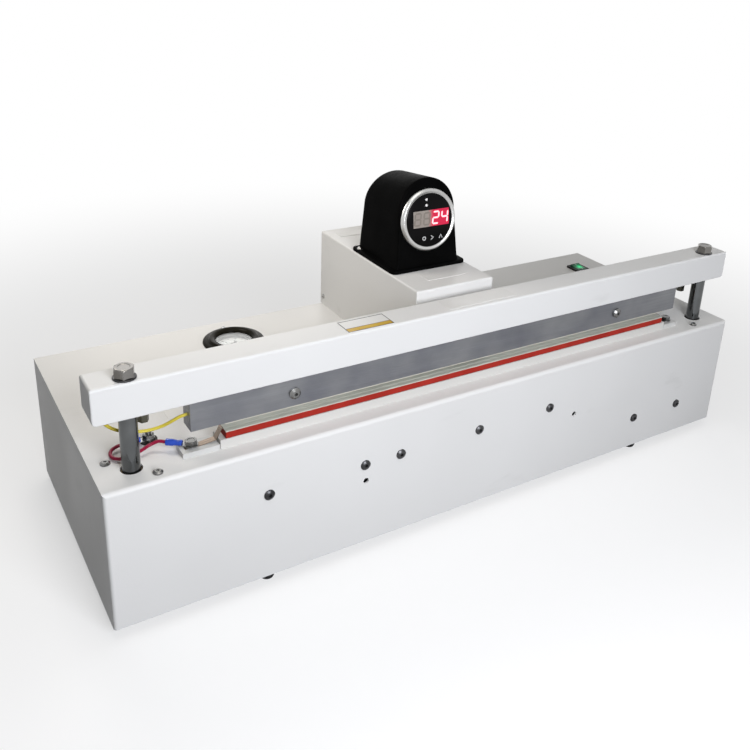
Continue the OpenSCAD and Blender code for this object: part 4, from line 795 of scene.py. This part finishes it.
# %% Window
window_finish = finish("display_window", (0.28, 0.25, 0.22), 0.3, Emission_Strength=0.8,
                       IOR=1.2)
tree = window_finish.node_tree
place_of = tree.nodes.new("ShaderNodeTexCoord")
split = tree.nodes.new("ShaderNodeSeparateXYZ")
tree.links.new(place_of.outputs["Object"], split.inputs[0])
reach = tree.nodes.new("ShaderNodeMapRange")
GLOW_STARTS, GLOW_FULL = -3 * MM, 2 * MM
window_middle = HOUSING_X + WINDOW[0] * MM
reach.inputs["From Min"].default_value = window_middle + GLOW_STARTS
reach.inputs["From Max"].default_value = window_middle + GLOW_FULL
tree.links.new(split.outputs["X"], reach.inputs["Value"])
for socket, unlit_side, lit_side in (("Emission Color", (0, 0, 0), (0.6, 0.005, 0.06)),
                                     ("Base Color", (0.3, 0.265, 0.235), (0.2, 0.02, 0.03))):
    colour = ramp(window_finish, reach.outputs["Result"], [(0, unlit_side), (1, lit_side)])
    tree.links.new(colour, tree.nodes["Principled BSDF"].inputs[socket])
corners = [(WINDOW[0] + sx * WINDOW[2] / 2, WINDOW[1] + sy * WINDOW[3] / 2)
           for sx, sy in ((-1, -1), (1, -1), (1, 1), (-1, 1))]
add("display_window", [prism(corners, GLASS_TOP - 0.4, GLASS_TOP + 0.08, on_face)], window_finish)

# %% [markdown]
# ## Folded sheet: the press beam and the display housing
#
# Both are steel sheet, folded over and welded at the corners, so their edges are bends of
# a few millimetres and their faces are flat. A cube with a Bevel modifier would round them
# too, but would not give the beam its hollow underside. Here a rounded rectangle climbs
# the wall, is inset along a quarter circle at the top edge, and closes as the flat top.
# A row 0.4 mm outside each bend keeps the shading of the flat faces flat.


# %% Beam and housing
def top_bend(radius, tall, count=6):
    """(inset, height) pairs of a rounded top edge: at angle t the inset is r (1 - cos t)
    and the height is tall - r + r sin t."""
    t = np.linspace(0, np.pi / 2, count)
    pairs = list(zip(radius * (1 - np.cos(t)), tall - radius + radius * np.sin(t)))
    return [(0, tall - radius - 0.4 * MM)] + pairs + [(radius + 0.4 * MM, tall)]


def lift_ends(flat, node, radius):
    """Round the wall's lower corners: s being the distance into the last radius of the
    length, the foot rises by r - sqrt(r^2 - s^2), and the rise fades towards the top."""
    lo, hi = box(node)
    middle, half = (lo[0] + hi[0]) / 2, (hi[0] - lo[0]) / 2
    s = np.clip(np.abs(flat[:, 0] - middle) - (half - radius), 0, radius * 0.999)
    fade = (hi[2] - flat[:, 2]) / (hi[2] - lo[2])
    flat[:, 2] += (radius - np.sqrt(radius ** 2 - s ** 2)) * fade
    return flat


def sheet_box(node, corner, bend, wall=0.0):
    """The folded box that fills a node's box. With a wall it is open below: the rows
    start at the ceiling inside, go down and round the lip, and climb the outside."""
    lo, hi = box(node)
    size = hi - lo
    inside = [(0.3 * MM, 0)]
    if wall:
        inside = [(wall + 0.4 * MM, size[2] - wall), (wall, size[2] - wall), (wall, 0.9 * MM),
                  (wall, 0.4 * MM), (wall * 0.75, 0), (wall * 0.25, 0)]
    steps = inside + [(0, 0.4 * MM), (0, 0.9 * MM)] + top_bend(bend, size[2])
    foot = ((lo[0] + hi[0]) / 2, (lo[1] + hi[1]) / 2, lo[2])
    return skin(stepped(size[0], size[1], corner, steps, foot, straight=90))


beam_points, beam_faces, beam_uv = sheet_box("press_beam", corner=1.2 * MM, bend=1.8 * MM,
                                              wall=1.5 * MM)
beam_points = lift_ends(beam_points, "press_beam", radius=3.2 * MM)
add("beam_shell", [(beam_points, beam_faces, beam_uv)], beam_white, "press", ["press_beam"])
housing = sheet_box("display_housing", corner=0.8 * MM, bend=1.4 * MM)
add("housing_shell", [housing], cabinet_white, stands_for=["display_housing"])

# %% [markdown]
# ## Rods and hexagon heads
#
# A ground and chromed rod is a turned profile with a small chamfer. A hexagon head is a
# prism whose top corners are cut by a cone: in polar form its radius is the smaller of the
# hexagon's, (width / 2) / cos t with t from the middle of a flat, and the cone's.

# %% Rods
rods_lo, rods_hi = box("lift_rods")
ROD_R = (rods_hi[1] - rods_lo[1]) / 2
ROD_X, ROD_Y = rods_hi[0] - ROD_R, (rods_lo[1] + rods_hi[1]) / 2
PISTON_TOP, SPIGOT_R = box("pistons")[1][2] / MM, 4
low, high, r = rods_lo[2] / MM, rods_hi[2] / MM, ROD_R / MM
rod_profile = [(0.05, low), (SPIGOT_R, low), (SPIGOT_R, PISTON_TOP), (r - 0.6, PISTON_TOP),
               (r, PISTON_TOP + 0.6), (r, high - 0.5), (r - 0.5, high), (0.05, high)]
rods = [turned(rod_profile, (s * ROD_X, ROD_Y, 0), steps=96) for s in (-1, 1)]
add("chromed_rods", rods, hard_chrome, "press", ["lift_rods"])


# %% Hexagon heads
def hexagon(across, tall, place, axis=(0, 0, 1), twist=0.0, dish=0.35):
    """Rows of a hexagon head, all values in millimetres. The cone starts at 0.95 of the
    flat's distance on top and widens by sqrt(3) for each step down. The flat top ends in a
    shallow forged dish."""
    axis, side, other = frame_of(axis)
    t = np.linspace(0, 2 * np.pi, 72, endpoint=False)
    flats = across / 2 / np.cos((t + np.pi / 6) % (np.pi / 3) - np.pi / 6)
    rise = np.concatenate([[0], np.linspace(tall * 0.5, tall, 9)])
    cone = across / 2 * 0.95 + (tall - rise) * math.sqrt(3)
    r = np.minimum(flats[None], cone[:, None])
    top = np.array([(0.9, 0), (0.68, 0), (0.6, dish), (0.02, dish)])
    r = np.vstack([r, np.repeat(top[:, :1] * across / 2, 72, 1)])
    h = np.concatenate([rise, tall - top[:, 1]])
    ring = np.cos(t + twist)[:, None] * side + np.sin(t + twist)[:, None] * other
    points = np.array(place) + (h[:, None, None] * axis + r[..., None] * ring) * MM
    return skin(points)


def shank(radius, low, high, place):
    """A plain round bar from low to high, in millimetres from place."""
    return turned([(0.05, low), (radius, low), (radius, high), (0.05, high)], place, steps=32)


BOLT_ACROSS, BOLT_TALL, BOLT_R, BOLT_LONG = 12, 6.6, 3, 20.7
washers_lo, washers_hi = box("beam_washers")
bolts = []
for s, twist in ((-1, 0.2), (1, 0.75)):
    place = (s * ROD_X, ROD_Y, washers_hi[2])
    bolts += [hexagon(BOLT_ACROSS, BOLT_TALL, place, twist=twist),
              shank(BOLT_R, -BOLT_LONG, 0.2, place)]
add("beam_bolt_heads", bolts, dark_chrome, "press", ["beam_bolts"])
washer = [(3.1, 0.05), (7.3, 0.05), (7.5, 0.25), (7.5, 0.8), (7.1, 1.15), (3.4, 1.15), (3.1, 0.9)]
washers = [turned(washer, (s * ROD_X, ROD_Y, washers_lo[2]), steps=72, closed=True) for s in (-1, 1)]
add("beam_bolt_washers", washers, black_oxide, "press", ["beam_washers"])

# %% [markdown]
# ## Leads and terminals
#
# Two thin insulated leads leave the jaws. A lead is limp, so it takes one smooth line
# through points about 5 mm apart, and is straight where it is held. Its ends are close to
# each other, so it loops behind the rod. The element's lead ends in two crimped ring
# terminals: a tinned tongue with a hole, and a blue nylon sleeve that is flattened where
# the crimping pliers closed on it.

# %% Terminals
TOP = box("cabinet_cover")[1][2] / MM
SLEEVE_R, SLEEVE_LONG, TONGUE = 2.15, 11, 0.8
LEFT_TAB, JAW_MIDDLE = -229, -89.2
TERMINALS = [((LEFT_TAB, JAW_MIDDLE, TOP + 4.4), 145), ((-250, -63.1, TOP + 1.4), 186)]
sleeve_profile = [(1.35, 0.3), (1.9, 0), (2.12, 0.3)] + [(SLEEVE_R, h) for h in (1, 2.2, 3.2, 4.2, 5.6)]
sleeve_profile += [(2.3, 6.1), (2.4, 6.8), (2.4, 10.4), (2.3, 10.9), (1.6, SLEEVE_LONG), (1.35, 10.6)]


def terminal(centre, angle):
    """Sleeve and tongue of a ring terminal. The crimp squeezes the sleeve's height about
    its own axis by 1 - 0.2 exp(-((h - 3.2) / 1.2)^2), h being the distance along it."""
    a = math.radians(angle)
    along = np.array([math.cos(a), math.sin(a), 0])
    centre = np.array(centre) * MM
    start = centre + (6 * along + [0, 0, SLEEVE_R - 0.4]) * MM
    flat, faces, uv = turned(sleeve_profile, start, along, 40, closed=True)
    h = (flat - start) @ along / MM
    squeeze = 1 - 0.2 * np.exp(-((h - 3.2) / 1.2) ** 2)
    flat[:, 2] = start[2] + (flat[:, 2] - start[2]) * squeeze
    ring = turned([(2.05, 0), (4.2, 0), (4.2, TONGUE), (2.05, TONGUE)], centre, steps=48, closed=True)
    across = np.array([-along[1], along[0], 0])
    corners = [centre + (x * along + y * across) * MM
               for x, y in ((3.6, -2.2), (7.5, -1.9), (7.5, 1.9), (3.6, 2.2))]
    neck = skin(np.array([corners, np.array(corners) + [0, 0, TONGUE * MM]]))
    return (flat, faces, uv), [ring, neck]


sleeves, tongues = zip(*[terminal(*t) for t in TERMINALS])
add("terminal_sleeves", list(sleeves), nylon_blue, stands_for=["ring_terminals"])
add("terminal_tongues", [part for pair in tongues for part in pair], zinc)


# %% Leads
def out_of(terminal_place, distance):
    """A point on a terminal's axis, in millimetres from the middle of its ring."""
    (x, y, z), angle = terminal_place
    a = math.radians(angle)
    return [x + math.cos(a) * distance, y + math.sin(a) * distance, z + SLEEVE_R - 0.4]


LEAD_R, SENSOR_R = 1.2 * MM, 1.1 * MM
rx, ry = -ROD_X / MM, ROD_Y / MM
element_route = [out_of(TERMINALS[0], d) for d in (17.3, 22.3)]
element_route += [[rx + x, ry + y, TOP + z] for x, y, z in
                  ((16.6, 14.6, 4.3), (11.3, 12.8, 3.4), (6, 11, 2.7), (0.8, 10.1, 2.2),
                   (-4.2, 10.9, 2), (-7.7, 14.1, 2), (-8.5, 18.4, 2.2), (-6.5, 22.6, 2.6))]
element_route += [out_of(TERMINALS[1], d) for d in (21.8, 17.3)]
lead_line = smooth_line(np.array(element_route) * MM, 14)
inside = [np.array(out_of(end, 9)) * MM for end in TERMINALS]
lead_line = np.vstack([inside[0], lead_line, inside[1]])
crimson_lead = add("crimson_lead", [drawn(lead_line, LEAD_R, (0, 0, 1), 20)], crimson_wire,
                   stands_for=["element_lead"])
BEAM_LOW, JAW_END = box("press_beam")[0][2] / MM, -231
JAW_HOLE = BEAM_LOW - 11.6
sensor_route = [[JAW_END + x, JAW_MIDDLE + y, JAW_HOLE + z] for x, y, z in
                ((-0.5, 0, 0), (-5.2, 0.5, -1.1), (-9.8, 2.2, -4), (-14.2, 4.6, -7))]
sensor_route += [[rx + x, ry + y, BEAM_LOW + z] for x, y, z in
                 ((18.3, 7.8, -20.9), (12, 9.4, -21.6), (5.4, 10.6, -20.9), (-1, 11, -18.8),
                  (-6.8, 11, -15.6), (-11.6, 11.3, -11), (-14.6, 11.7, -5.2), (-15.7, 12, 1.4),
                  (-15.7, 12, 8), (-15.7, 12, 15))]
sensor_line = smooth_line(np.array(sensor_route) * MM, 14)
sensor_line = np.vstack([np.array([JAW_END + 10, JAW_MIDDLE, JAW_HOLE]) * MM, sensor_line])
yellow_lead = add("yellow_lead", [drawn(sensor_line, SENSOR_R, (0.3, 1, 0.1), 20)], yellow_wire,
                  "press", ["sensor_lead"])

# %% Terminal screws
HEAD_ACROSS, HEAD_TALL = 7.6, 3.2
right_tab = box("terminal_screws")[1][0] - 4.8 * MM
screws = []
for x, high, twist, edge in ((LEFT_TAB * MM, 5.2, 0.3, (4.9, 4.8)), (right_tab, 4.4, 0.9, (4.8, 4.7))):
    place = (x, JAW_MIDDLE * MM, (TOP + high) * MM)
    above_flange = (x, place[1], (TOP + high + 0.7) * MM)
    screws.append(hexagon(HEAD_ACROSS, HEAD_TALL, above_flange, twist=twist))
    screws.append(turned([(0.05, 0), (4.7, 0), (edge[0], 0.2), (edge[1], 0.7), (0.05, 0.8)], place))
    screws.append(shank(2, -16, 0.1, place))
add("terminal_screw_heads", screws, dark_nickel, stands_for=["terminal_screws"])

# %% [markdown]
# ## Pad and tape
#
# The pad is a strip of silicone rubber. Its section is a superellipse, |y|^n + |z|^n = 1
# with a high n, which is a rectangle with soft corners, and its long sides bulge a little
# where the jaw has pressed it. The tape of coated glass cloth lies over it, dips beside the
# ribbon and turns down over both long edges.


# %% Pad and tape
def along_x(section, low, high, ends, count=60):
    """A closed (y, z) section carried from x = low to x = high, in metres. Rows crowd at
    the ends, where the section shrinks about its middle by the factors in ends."""
    x = low + (high - low) * (1 - np.cos(np.linspace(0, np.pi, count))) / 2
    scale = np.ones(count)
    scale[:len(ends)], scale[-len(ends):] = ends, ends[::-1]
    middle = section.mean(0)
    yz = middle + scale[:, None, None] * (section - middle)
    return skin(np.concatenate([np.broadcast_to(x[:, None, None], yz[..., :1].shape), yz], -1))


SQUARENESS, BULGE = 9, 0.035
pad_lo, pad_hi = box("silicone_pad")
pad_middle, pad_half = (pad_lo + pad_hi)[1:] / 2, (pad_hi - pad_lo)[1:] / 2
t = np.linspace(0, 2 * np.pi, 64, endpoint=False)
round_it = np.column_stack([np.cos(t), np.sin(t)])
section = np.sign(round_it) * np.abs(round_it) ** (2 / SQUARENESS)
section[:, 0] *= 1 + BULGE * (1 - round_it[:, 1] ** 2)
add("rubber_pad", [along_x(pad_middle + pad_half * section, pad_lo[0], pad_hi[0], (0.96, 1))],
    red_silicone, stands_for=["silicone_pad"])

tape_lo, tape_hi = box("release_tape")
FOLD, CLOTH = 0.3 * MM, 0.22 * MM
RIDGE_HALF, RIDGE_SLOPE, RIDGE_TALL = 3.4 * MM, 0.9 * MM, 0.42 * MM
EDGE_ROUND, EDGE_FALL = 0.8 * MM, 0.5 * MM
y = np.linspace(tape_lo[1] - CLOTH, tape_hi[1] + CLOTH, 41)
from_middle = np.abs(y - (tape_lo[1] + tape_hi[1]) / 2)
ridge = np.clip((RIDGE_HALF - from_middle) / RIDGE_SLOPE, 0, 1)
top_line = tape_hi[2] - RIDGE_TALL * (1 - ridge * ridge * (3 - 2 * ridge))
fall = np.clip(1 - (y[-1] - y.mean() - from_middle) / EDGE_ROUND, 0, 1)
top_line = top_line - EDGE_FALL * fall ** 2
outer = np.column_stack([y, top_line])
outer = np.vstack([[y[0], tape_lo[2] - FOLD], outer, [y[-1], tape_lo[2] - FOLD]])
inner = outer[::-1].copy()
inner[:, 0] = np.clip(inner[:, 0], tape_lo[1], tape_hi[1])
inner[1:-1, 1] -= CLOTH
tape_section = np.vstack([outer, inner])
cloth_tape = add("cloth_tape", [along_x(tape_section, tape_lo[0], tape_hi[0], (1,))], glass_cloth,
                 stands_for=["release_tape"])

# %% [markdown]
# ## Pressure gauge
#
# A panel gauge has a wide dark flange, a raised rim that holds the glass, and a dial below
# it. Flange, rim and case are one turned profile. The scale runs clockwise over 270
# degrees, the same angle as the needle's joint, with plain numbers. The needle is a body of
# its own in the model, so it is a piece of its own here and turns in every pose.

# %% Flange, rim and case
GAUGE = np.array([-140.5, 55.9, TOP]) * MM
gauge_profile = [(1.25, -7.5), (1.25, -6.05), (19.35, -6.05), (19.4, -4.9), (14.7, -4.7),
                 (14.6, -4.2), (14.7, 0.6), (15.1, 2.4), (15.9, 3.5), (17.1, 4.2), (18.6, 4.5),
                 (19.9, 4.4), (20.6, 3.8), (21.1, 3.1),
                 (21.6, 2.55), (22.6, 2.3), (24.2, 2.2), (25.2, 1.9), (25.8, 1.3), (26, 0.6), (26, 0),
                 (21, 0), (21, -27.5), (20.5, -28), (5, -28), (5, -40), (1.25, -40)]
add("gauge_flange", [turned(gauge_profile, GAUGE, steps=128, closed=True)], case_black,
    stands_for=["gauge_case", "gauge_bezel"])

# %% Dial, ticks and numbers
DIAL = GAUGE + [0, 0, -5 * MM]
dial_profile = [(1.3, -1), (19.2, -1), (19.3, -0.9), (19.3, -0.1), (19.2, 0), (1.3, 0)]
add("dial", [turned(dial_profile, DIAL, steps=96, closed=True)], dial_white,
    stands_for=["gauge_dial"])
SCALE_START, SCALE_SWEEP, SCALE_STEPS, NUMBER_STEP = 225, 270, 50, 10
TICKS_OUT, NUMBERS_OUT, NUMBER_TALL = 13.8, 8.9, 4


def on_dial(local):
    """From the dial's own frame to the machine's."""
    return local + DIAL


def scale_angle(step):
    """The angle of a step of the scale, clockwise from its start."""
    return math.radians(SCALE_START - SCALE_SWEEP * step / SCALE_STEPS)


ticks = []
for k in range(SCALE_STEPS + 1):
    a = scale_angle(k)
    out, sideways = np.array([math.cos(a), math.sin(a)]), np.array([-math.sin(a), math.cos(a)])
    start, half = (11.2, 0.3) if k % NUMBER_STEP == 0 else (12.4, 0.22) if k % 5 == 0 else (12.9, 0.12)
    outline = [r * out + side * half * sideways
               for r, side in ((start, -1), (TICKS_OUT, -1), (TICKS_OUT, 1), (start, 1))]
    ticks.append(prism(outline, 0.02, 0.1, on_dial))


def number(text, x, y, size):
    """A flat number as faces: Blender's built-in font becomes a mesh at the origin, and
    its points, centred and scaled to size millimetres, are then moved to (x, y)."""
    curve = bpy.data.curves.new(text, "FONT")
    curve.body = text
    curve.align_x, curve.align_y = "CENTER", "CENTER"
    curve.resolution_u = 4
    made = bpy.data.objects.new(text, curve)
    mesh = made.to_mesh()
    flat = np.array([tuple(v.co) for v in mesh.vertices])
    faces = [list(f.vertices) for f in mesh.polygons]
    made.to_mesh_clear()
    bpy.data.objects.remove(made)
    bpy.data.curves.remove(curve)
    flat = flat * size * MM + [x * MM, y * MM, 0.06 * MM]
    return on_dial(flat), faces, flat[:, :2] / (20 * MM)


numbers = []
for k in range(0, SCALE_STEPS + 1, NUMBER_STEP):
    a = scale_angle(k)
    x, y = NUMBERS_OUT * math.cos(a), NUMBERS_OUT * math.sin(a)
    numbers.append(number(str(k // 5), x, y, NUMBER_TALL))
add("dial_marks", ticks + numbers, mark_black)

# %% Needle
a = scale_angle(0)
edge = [(-5.4, -1.1), (-4.4, -1.5), (-1.5, -1.1), (0, -0.9), (13, -0.2)]
point_line = edge + [(x, -y) for x, y in edge[::-1]]
turn = np.array([[math.cos(a), -math.sin(a)], [math.sin(a), math.cos(a)]])
blade = prism(np.array(point_line) @ turn.T, 0.75, 1.15, on_dial)
hub_profile = [(0.05, -2.2), (1.15, -2.2), (1.15, 0.4), (3.0, 0.5), (3.2, 0.7), (3.1, 1.3),
               (2.2, 1.6), (0.05, 1.65)]
hub = turned(hub_profile, DIAL, steps=48)
add("needle", [blade, hub], mark_black, "needle", ["gauge_needle"])

# %% [markdown]
# ## Lit rocker
#
# The switch's rocker is a dark green lens with a lamp under its middle. Seen from outside
# only a bright spot shows, which fades outwards within a few millimetres. The same fade is
# made with the distance from the lamp on the piece's own coordinates. The rocker is a body
# of its own and turns about X.

# %% Rocker
PIVOT = np.array([258, 58.2, TOP - 1.6]) * MM
TILT, VALLEY_ROUND, SKIRT_TOP, LENS_TOP = math.radians(9), 1.6 * MM, 0.5 * MM, 4.2 * MM


def on_rocker(local):
    """From the rocker's own frame to the machine's: a turn about X by its ON tilt."""
    x, y, z = local[..., 0], local[..., 1], local[..., 2]
    return PIVOT + np.stack([x, y * math.cos(TILT) - z * math.sin(TILT),
                             y * math.sin(TILT) + z * math.cos(TILT)], -1)


def valley(y):
    """How far the lens rises away from its middle line: two slopes of tan tilt that meet
    in a hyperbola, tan(tilt) * (sqrt(y^2 + r^2) - r)."""
    return math.tan(TILT) * (np.sqrt(y ** 2 + VALLEY_ROUND ** 2) - VALLEY_ROUND)


rocker_steps = np.array([(1.3, -1.6), (0.5, -0.2), (0.02, 1.2), (0, 3.4), (0.12, 3.85), (0.45, 4.12),
                         (0.9, 4.2), (2, 4.2), (3.5, 4.2), (5.2, 4.2), (5.9, 4.2)]) * MM
rocker_rows = stepped(12 * MM, 13.6 * MM, 0.8 * MM, rocker_steps, (0, 0, 0), straight=14)
lifted = np.clip((rocker_rows[..., 2] - SKIRT_TOP) / (LENS_TOP - SKIRT_TOP), 0, 1)
rocker_rows[..., 2] += lifted * valley(rocker_rows[..., 1])
pins = turned([(0.05, -7.1), (1, -7.1), (1, 7.1), (0.05, 7.1)], PIVOT, (1, 0, 0), steps=32)
add("rocker_lens", [skin(on_rocker(rocker_rows)), pins], green_lens, "rocker", ["power_rocker"])


def rocker_mark(local):
    """A mark lies on the lens's slope, at the height of the valley rule."""
    rise = LENS_TOP + valley(local[..., 1])
    return on_rocker(np.stack([local[..., 0], local[..., 1], local[..., 2] + rise], -1))


loop_t = np.linspace(0.03, 2 * np.pi - 0.03, 28)
off_sign = stroke(np.column_stack([1.2 * np.cos(loop_t), -4.4 + 1.2 * np.sin(loop_t)]), 0.4)
on_sign = [(-0.22, 3.2), (0.22, 3.2), (0.22, 5.6), (-0.22, 5.6)]
add("rocker_signs", [prism(sign, 0, 0.06, rocker_mark) for sign in (off_sign, on_sign)],
    mark_white, "rocker")

# %% Light in the rocker
SPOT_REACH = 7.5 * MM
tree = green_lens.node_tree
where = tree.nodes.new("ShaderNodeTexCoord")
centred = tree.nodes.new("ShaderNodeMapping")
spot = on_rocker(np.array([1.0 * MM, -0.5 * MM, LENS_TOP]))
centred.inputs["Location"].default_value = -spot
away = tree.nodes.new("ShaderNodeVectorMath")
away.operation = "LENGTH"
near = tree.nodes.new("ShaderNodeMapRange")
near.inputs["From Max"].default_value = SPOT_REACH
tree.links.new(where.outputs["Object"], centred.inputs["Vector"])
tree.links.new(centred.outputs["Vector"], away.inputs[0])
tree.links.new(away.outputs["Value"], near.inputs["Value"])
light = ramp(green_lens, near.outputs["Result"],
             [(0, (0.05, 0.95, 0.35)), (0.28, (0.0, 0.5, 0.16)), (0.55, (0.0, 0.12, 0.045)),
              (1, (0, 0.015, 0.006))])
tree.links.new(light, tree.nodes["Principled BSDF"].inputs["Emission Color"])
tree.nodes["Principled BSDF"].inputs["Emission Strength"].default_value = 0.9

# %% [markdown]
# ## Blank plates
#
# Two thin plates lie on the beam. They carry no words. One has a dark border line and an
# amber band along its front, the other is plain.

# %% Plates on the beam
PLATE_TOP = box("beam_plates")[1][2]
PLATE_X, PLATE_WIDE, PLATE_DEEP = -94.6, 38, 18.4
beam_lo, beam_hi = box("press_beam")
plate_y = (beam_lo[1] + beam_hi[1]) / 2 / MM - 1


def flat_field(left, right, front, back, high):
    """A thin rectangle on the left plate, given as shares of its width and depth."""
    x0, y0 = PLATE_X - PLATE_WIDE / 2, plate_y - PLATE_DEEP / 2
    outline = [(x0 + PLATE_WIDE * x, y0 + PLATE_DEEP * y) for x, y in
               ((left, front), (right, front), (right, back), (left, back))]
    return prism(outline, 0.0, high, lambda local: local + [0, 0, PLATE_TOP])


for name, shares, made in (("plate_border", (0.003, 0.997, 0.006, 0.994, 0.02), mark_black),
                           ("plate_band", (0.02, 0.98, 0.05, 0.3, 0.04), plate_amber),
                           ("plate_field", (0.02, 0.98, 0.33, 0.95, 0.04), plate_white)):
    add(name, [flat_field(*shares)], made, "press")
